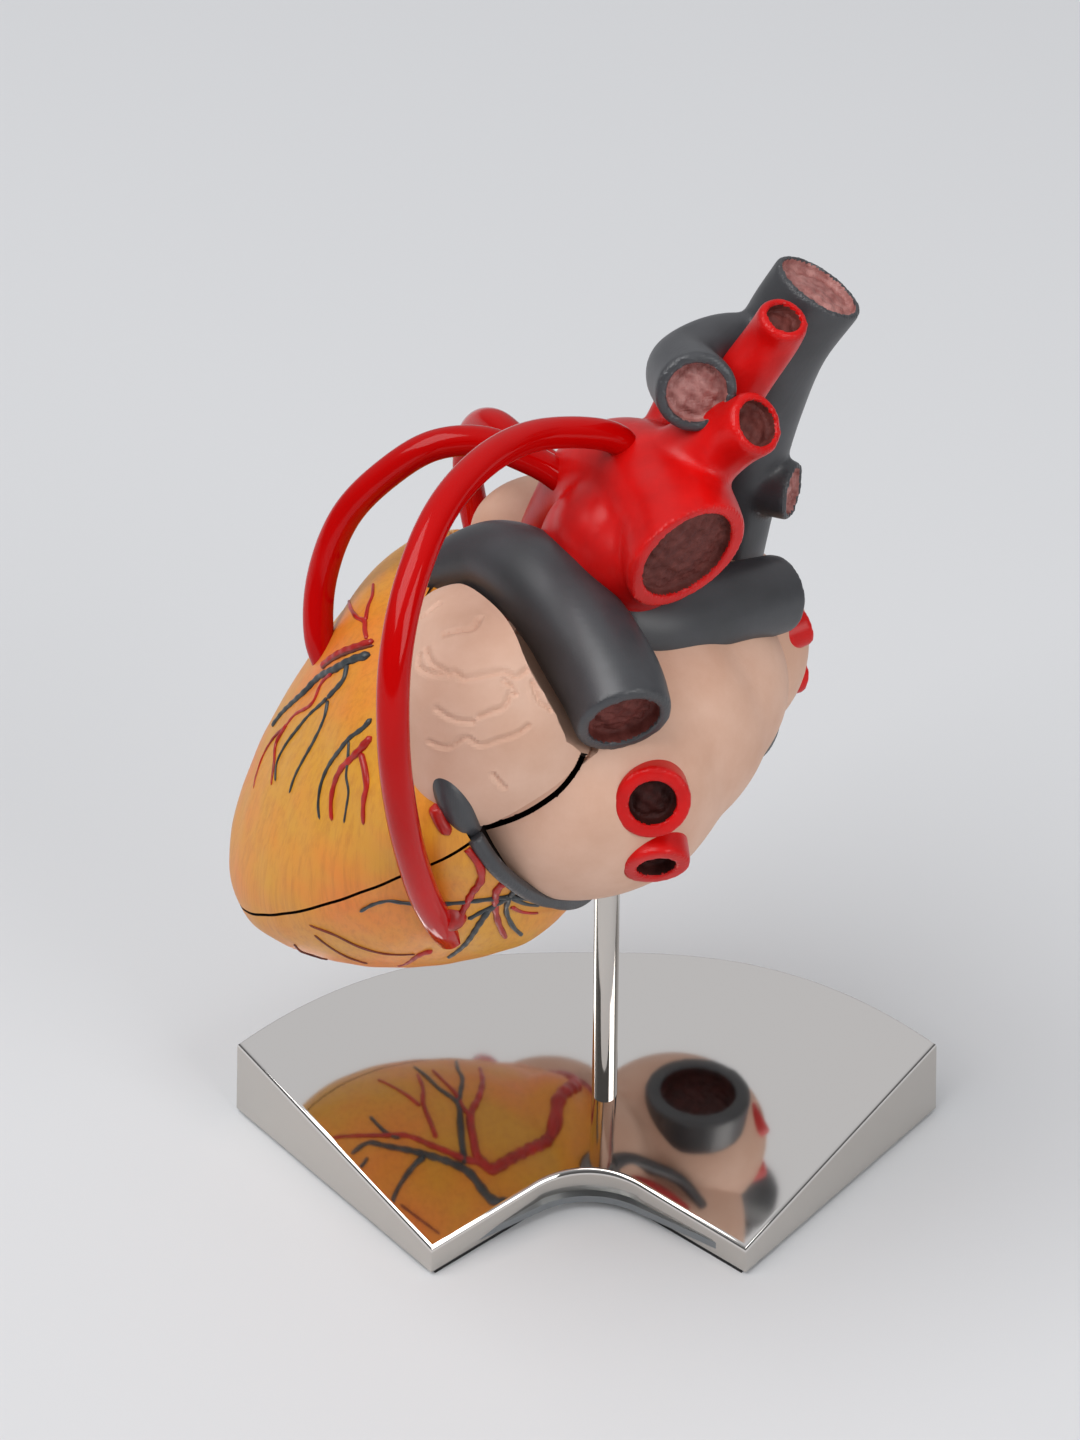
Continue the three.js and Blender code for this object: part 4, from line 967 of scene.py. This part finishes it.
# Thin acrylic lines drawn with a fine brush: blue-black, brick red and umber, with a slight shine
vein_paint = painted("brushed_slate_line", ("#3c4346", "#262a2d"), 0.4, 5)
artery_paint = painted("brushed_scarlet_line", ("#b81a12", "#8e100c"), 0.35, 5)
umber_paint = painted("brushed_umber_line", ("#7a2f1c", "#5c2116"), 0.45, 5)
vein_lines = [
    (0.9, 0.45, [(-42.4, -18.8, 135.6), (-45.7, -17.3, 133.8), (-49.4, -14.8, 130.3), (-52.8, -10.3, 125.3),
                 (-55.4, -8.8, 121.1), (-57.6, -6.8, 117.4), (-60, -4.2, 112.8), (-61.8, -3, 109.2)]),
    (0.5, 0.5, [(-46.3, -17.1, 132.4), (-47.4, -19.9, 131.8), (-49.5, -19.8, 129), (-50.6, -19.3, 127.4)]),
    (0.4, 0.2, [(-50.6, -19.3, 127.4), (-53.7, -17.2, 122.7), (-56, -16.3, 119), (-58.6, -15.7, 114.5),
                (-60.1, -16.5, 111), (-60.4, -19.5, 109.2)]),
    (0.4, 0.2, [(-50.4, -20, 127.4), (-50.9, -22.1, 125.7), (-52.9, -23.4, 121.5), (-54.8, -23.9, 117.7),
                (-56.5, -24.3, 113.9), (-57.5, -25.3, 110.9)]),
    (0.5, 0.25, [(-42.2, -31.7, 132), (-43.6, -32.3, 130.5), (-46.2, -31.4, 127.4), (-48.1, -31.2, 124.7),
                 (-50.3, -30.7, 120.8), (-51.6, -31.4, 117.3), (-52, -32.9, 114.2), (-51.8, -34.6, 112.1)]),
    (0.35, 0.2, [(-46.2, -31.7, 127.2), (-46.4, -33.9, 124.9), (-46.7, -35.3, 122.3), (-46.4, -37.2, 120.4),
                 (-46.9, -38.1, 117.1), (-47.3, -38.7, 114.4)]),
    (0.6, 0.3, [(-17.8, -43.5, 100.9), (-24, -44.6, 100.6), (-31, -44, 100), (-37.2, -42.4, 100.2),
                (-39.5, -42.1, 100.4), (-42.2, -41, 98.8), (-44.7, -39.5, 96)]),
    (0.6, 0.6, [(-17.1, -39.4, 103.9), (-17.4, -43.2, 103.5), (-17.8, -43.5, 100.9)]),
    (0.65, 0.5, [(-17.8, -43.5, 100.9), (-14.6, -39.7, 98.9), (-11.3, -33.1, 94.3)]),
    (0.75, 0.4, [(-17.8, -43.5, 100.9), (-20.8, -42.3, 98), (-23.9, -39.8, 92.8), (-26.9, -35.6, 85.8),
                 (-29.8, -32, 80)]),
    (0.55, 0.4, [(-17.8, -43.5, 100.9), (-18.5, -40.4, 95.1), (-17.8, -36.7, 89.3), (-16.4, -32.3, 84.3)]),
    (0.5, 0.4, [(-17.2, -43.1, 99.8), (-14.6, -40.2, 95.9), (-11.7, -38.2, 93.3)]),
    (0.5, 0.5, [(-26, -40.3, 95.5), (-23.5, -41.6, 96.6), (-20.8, -42.3, 98)]),
    (1.5, 0.5, [(-4, -8, 74), (-12, -8, 69), (-19, -10, 67), (-23.2, -9.5, 66.4), (-28.1, -4, 64.4),
                (-35.8, -1.1, 63.3), (-45.2, 1, 63.2), (-48.8, 1.8, 63.6), (-52.2, -0.5, 63.9)]),
    (0.9, 0.3, [(-28.5, -2.5, 64.6), (-29.2, 2, 65.3), (-29.6, 6.8, 67), (-30.4, 12.1, 70.2),
                (-34.5, 16.1, 72.6), (-36.7, 19.1, 75.7), (-40, 23, 82)]),
    (0.6, 0.3, [(-30.2, 12.1, 70.3), (-29.8, 15, 72.9), (-29.5, 19.8, 77.9), (-30.5, 22.6, 81.7),
                (-31, 27, 88)]),
    (0.7, 0.3, [(-36.8, -1.2, 63.1), (-38.9, -3.1, 62.4), (-42.4, -8.4, 62.3), (-44.4, -13.5, 63.7),
                (-46, -18, 66)]),
    (0.4, 0.5, [(-48.6, 8.2, 66.4), (-44.7, 3.8, 64.1), (-42.1, 2.7, 63.7)]),
    (0.4, 0.3, [(-48.7, -1.4, 62.9), (-50, -3.4, 62.9), (-53, -6, 63.5)]),
]
artery_lines = [
    (1.5, 1.3, [(-31, -45.3, 124), (-30.2, -46, 121), (-28.7, -46.5, 118.6)]),
    (2.9, 2.7, [(-30.3, -42, 98.6), (-29, -40.6, 96), (-27.7, -39, 93.4)]),
    (0.4, 0.2, [(-49.5, -14.9, 129.5), (-51.4, -13.5, 125.8), (-53.6, -15.2, 123.5), (-56.3, -11.6, 118),
                (-58.6, -10.9, 115.2), (-61.3, -8.5, 110.5), (-63.5, -8.6, 106.5), (-64.6, -10.7, 103.6),
                (-65.1, -12.6, 102.2)]),
    (0.45, 0.2, [(-58.2, -11, 115.7), (-60, -11.4, 111.7), (-60.7, -15.5, 110.3), (-61.2, -18.9, 107.8)]),
    (0.8, 0.35, [(-42.2, -34.6, 130.2), (-44, -34.7, 127.7), (-45.8, -34.4, 125.3), (-47.7, -33.7, 122.6),
                 (-49, -33.8, 119.6), (-49.7, -34.9, 116.4), (-49.6, -36.7, 113.4)]),
    (0.8, 0.35, [(-44, -35.1, 127.2), (-43.2, -37.8, 125.2), (-43, -39.5, 123.2), (-43.6, -40.3, 120.5),
                 (-43.8, -41.6, 116.2)]),
    (0.75, 0.75, [(-52.2, -8.5, 126.7), (-48.6, -12.1, 131.7), (-45.2, -15.1, 135.5),
                  (-42.2, -16.4, 137.6)]),
    (0.5, 0.3, [(-43.4, -14.9, 136.9), (-43.8, -12.3, 136.8), (-44.1, -9.4, 137), (-45.5, -6.5, 135.8),
                (-46.9, -0.5, 133.5), (-47.6, 6.2, 130.6)]),
    (0.45, 0.3, [(-43.9, -9.5, 137.1), (-43.5, -5.3, 137.2), (-42.9, -2.6, 137.5), (-42.9, 2.5, 136.8)]),
    (0.8, 0.7, [(-26.7, -47, 117.1), (-25, -45.9, 114), (-23.7, -45.9, 111.3), (-23.5, -45.4, 107.5),
                (-24.8, -44.9, 103.7), (-26.1, -42.9, 99.5), (-28, -40.5, 95)]),
    (0.8, 0.5, [(-19.3, -44.6, 106.9), (-20.2, -44.9, 104.3), (-20.6, -42.4, 98.4),
                (-20.3, -38.7, 91.8), (-19.3, -34.5, 85.6)]),
    (0.5, 0.3, [(-17.4, -40.6, 95.7), (-15.5, -38, 92), (-12.2, -34.6, 88.8)]),
    (0.6, 0.25, [(-32.4, -35.5, 83.7), (-34.6, -34.7, 81.2), (-37.6, -30.2, 75.6), (-39.1, -28.8, 74)]),
    (1.9, 1.3, [(-10, 24, 96), (-4.1, 21.9, 85.4), (-8.5, 15.5, 78.4), (-11.1, 5.7, 75.1),
                (-14.9, 2.6, 71.5), (-19.1, -0.4, 68.6), (-23.3, -3.1, 66.5), (-25.8, -1.1, 65.8)]),
    (1.2, 0.4, [(-23.3, -3.1, 66.5), (-25.8, -1.1, 65.8), (-26.9, 3.5, 66.7), (-27.6, 8.9, 69),
                (-26, 14, 73.1), (-25.2, 18.7, 78), (-26, 24, 86)]),
    (0.6, 0.3, [(-27.6, 8.9, 69), (-29.1, 10.9, 69.8), (-30.9, 14.9, 72.5), (-33.1, 17.8, 74.8),
                (-36, 22, 80)]),
    (0.9, 0.4, [(-25, -2, 66), (-28.5, -1.4, 64.8), (-34.8, 1, 63.8), (-41.1, 3.4, 63.9), (-46.4, 3.4, 64),
                (-51.6, 3.6, 64.9), (-56, 3.5, 67)]),
    (0.7, 0.3, [(-34.6, 2.9, 64.6), (-35.5, 5.7, 65.5), (-37.5, 11.6, 68.5), (-37.7, 15.9, 72.2),
                (-39, 20, 78)]),
    (0.5, 0.3, [(-38.1, 10.8, 67.9), (-40.8, 13.5, 69.9), (-43.6, 15.9, 72), (-47, 18, 77)]),
]
umber_lines = [
    (0.25, 0.2, [(-54.4, -34.2, 88), (-49.9, -35.1, 86.4), (-45.5, -34.6, 83), (-41, -34.1, 81.2),
                 (-35.5, -34.9, 81.4)]),
    (0.25, 0.2, [(-53.7, -33.1, 84.6), (-51.1, -31.9, 80.8), (-47.7, -30, 76.6), (-44.5, -28.9, 74.2)]),
    (0.25, 0.2, [(-57.9, -26.8, 77.3), (-55.7, -21, 70.2), (-52.1, -24.6, 71.6)]),
    (0.3, 0.25, [(-41.9, -11.5, 62.9), (-37.8, -14.4, 63.9), (-33.6, -17.2, 65.6)]),
    (0.4, 0.3, [(-52.4, -9.5, 127.4), (-48.6, -13.1, 132.2), (-45.2, -16.1, 135.6), (-42.2, -17.4, 137.4)]),
]
relief("vein_tree", vein_lines, vein_paint, "blue_grey_vessel", {"front_heart": ["anterior_vein"]})
relief("artery_tree", artery_lines, artery_paint, "red_vessel", {
    "front_heart": ["front_descending_artery"], "rear_heart": ["marginal_artery", "right_coronary_artery"]})
relief("brushed_lines", umber_lines, umber_paint, "red_vessel", {})


# Coronary sinus and great cardiac vein: a thick slate band in the groove between the atria and the
# ventricles, and the leaf-shaped start of it on the front wall, cut by the parting.
def groove_rim(start, end, radii, inward=1.2, over=1.0):
    """Stops along the ventricles' edge at the groove, the short way round from one point to another:
    for each angle in the groove plane the farthest distance that is inside the casting, found by
    halving, then moved inwards and over towards the atria."""
    middle = np.array([-9.0, -8.0, 96.0])
    share = np.linspace(0, 1, rim_stops)
    middle -= (middle - groove_point) @ groove_normal * groove_normal
    across = np.cross(groove_normal, [0, 1.0, 0])
    across /= np.linalg.norm(across)
    other = np.cross(groove_normal, across)
    turn = [math.atan2((np.array(p) - middle) @ other, (np.array(p) - middle) @ across) for p in (start, end)]
    swing = (turn[1] - turn[0] + math.pi) % (2 * math.pi) - math.pi
    angle = turn[0] + swing * share[:, None]
    way = np.cos(angle) * across + np.sin(angle) * other
    low, high = np.zeros(len(way)), np.full(len(way), rim_farthest)
    for _ in range(30):
        half = (low + high) / 2
        spot = middle + way * half[:, None]
        reach = np.linalg.norm(wall_surface(spot) - ventricle_centre, axis=1)
        outside = np.linalg.norm(spot - ventricle_centre, axis=1) > reach
        low, high = np.where(outside, low, half), np.where(outside, half, high)
    rim = middle + way * (low - inward)[:, None] + over * groove_normal
    return np.column_stack([rim, np.interp(share, np.linspace(0, 1, len(radii)), radii)])


rim_stops, rim_farthest = 40, 70.0
sinus_stops = [(2, 1, 77.5, 2), (5.5, 3.4, 83, 1.8), (11, 3.6, 90, 1.6), (17.7, 2.4, 97, 1.4),
               (23, -2.2, 102, 1.1)]
sinus_rim = groove_rim((-23.8, -44, 115.8), (-6, 7, 75), (1.6, 1.45, 1.5, 1.6, 1.7, 1.8, 2.2), 0.8, 0.6)
sinus = kneaded("coronary_sinus_band", [tube(smooth_path(s), 24) for s in (sinus_rim, sinus_stops)],
                0.45, 3, "rear_heart", ["coronary_sinus"], "blue_grey_vessel")
right_rim = groove_rim((-6, 8, 75), (-10, 27, 118), (2.0, 2.1, 2.0, 1.6))
under_stops = [(4, -2.4, 79.5, 1.2), (8, -1.2, 86, 1.8), (13.4, -2, 92.5, 1.9), (19, -4, 98, 1.2)]
right_artery = kneaded("right_coronary_band", [tube(smooth_path(s), 24) for s in (right_rim, under_stops)],
                       0.45, 3, "rear_heart", [], "red_vessel")
paint(right_artery, artery_paint)
leaf_stops = [(-30, -44.1, 131.4, 1.8), (-28.9, -44.9, 128.4, 2.9), (-27.3, -45.4, 124.2, 3.3),
              (-25.9, -45.3, 120.2, 2.7), (-24.6, -44.5, 117.2, 1.9), (-23.4, -43.6, 114.8, 1.5)]
leaf = kneaded("great_cardiac_vein_leaf", [tube(smooth_path(leaf_stops), 24)], 0.45, 3, "front_heart",
               ["great_cardiac_vein"], "blue_grey_vessel")
carve(leaf, "INTERSECT", front_half(seam_gap / 2))
for piece in (sinus, leaf):
    paint(piece, slate_paint)

# Inside: septum, papillary muscles and valves, cast with the walls, and the magnets that hold the
# front wall; they show when it is lifted off. The valves' acrylic is a matt ivory.
valve_paint = painted("vinyl_painted_valve", ("#e0c9ae", "#cdaf8d"), 0.55, 4)
# Tumbled nickel plate: a yellowish grey metal with a fine haze
magnet_steel = plated("nickel_plated_magnet", "#b9b7b0", 0.18, 0.32, "TexNoise", Scale=700.0)
paint_nodes(valve_paint, "mitral_valve", "tricuspid_valve", "aortic_valve", "pulmonary_valve")
paint_nodes(inner_muscle, "ventricular_septum", *[f"papillary_muscle_{i}" for i in (1, 2, 3)])
paint_nodes(magnet_steel, *[f"{side}_magnet_{i}" for side in ("rear", "front") for i in (1, 2, 3)])

# Studio: a pale grey sweep, a large soft lamp high on the left and a weak one on the right; the
# plate and the gloss see the pale backdrop, which lights the object itself only a little.
floor_half = 6.0  # metres
floor_mesh = bpy.data.meshes.new("floor")
floor_corners = [(a * floor_half, b * floor_half, 0) for a, b in ((-1, -1), (1, -1), (1, 1), (-1, 1))]
floor_mesh.from_pydata(floor_corners, [], [(0, 1, 2, 3)])
floor = bpy.data.objects.new("floor", floor_mesh)
bpy.context.scene.collection.objects.link(floor)
paint(floor, clouded("pale_sweep", ("#d4d5d7", "#d6d7d9"), 333, Roughness=0.7))
world = bpy.data.worlds.new("studio")
world.use_nodes = True
bpy.context.scene.world = world
tree = world.node_tree
background = tree.nodes["Background"]
background.inputs["Color"].default_value = linear("#d6d7da")
rays = add_node(tree, "LightPath")
seen = add_node(tree, "Math", {"operation": "MAXIMUM"}, _0=rays.outputs["Is Camera Ray"],
                _1=rays.outputs["Is Glossy Ray"])
direction = add_node(tree, "TexCoord").outputs["Generated"]
height = add_node(tree, "VectorMath", {"operation": "DOT_PRODUCT"}, _0=direction, _1=(0.0, 0.45, 0.9))
room = add_node(tree, "MapRange", {"interpolation_type": "SMOOTHSTEP"}, Value=height.outputs["Value"],
                From_Max=1.006, To_Min=0.15, To_Max=0.95)
glossy_only = add_node(tree, "Math", {"operation": "SUBTRACT"}, _0=rays.outputs["Is Glossy Ray"],
                       _1=rays.outputs["Is Camera Ray"])
shown = add_node(tree, "Mix", Factor=glossy_only.outputs[0], _2=1.0, _3=room.outputs["Result"])
strength = add_node(tree, "MapRange", Value=seen.outputs[0], To_Min=0.54, To_Max=shown.outputs[0])
tree.links.new(strength.outputs["Result"], background.inputs["Strength"])
lamps = [("key", (-1.0, -0.6, 2.3), 2.0, 50.0), ("fill", (1.7, -1.7, 1.3), 1.5, 26.0)]
for name, spot, size, power in lamps:
    lamp_data = bpy.data.lights.new(name, "AREA")
    lamp_data.size = size
    lamp_data.energy = power
    lamp = bpy.data.objects.new(name, lamp_data)
    lamp.location = spot
    way = np.array(spot) - (0, 0, 0.1)
    tilt = math.atan2(math.hypot(way[0], way[1]), way[2])
    lamp.rotation_euler = (tilt, 0, math.atan2(way[1], way[0]) + math.pi / 2)
    bpy.context.scene.collection.objects.link(lamp)
bpy.context.scene.view_settings.view_transform = "Standard"
for spare in [piece for piece in bpy.data.objects if piece.name.startswith(("cutter", "clay"))]:
    bpy.data.objects.remove(spare)
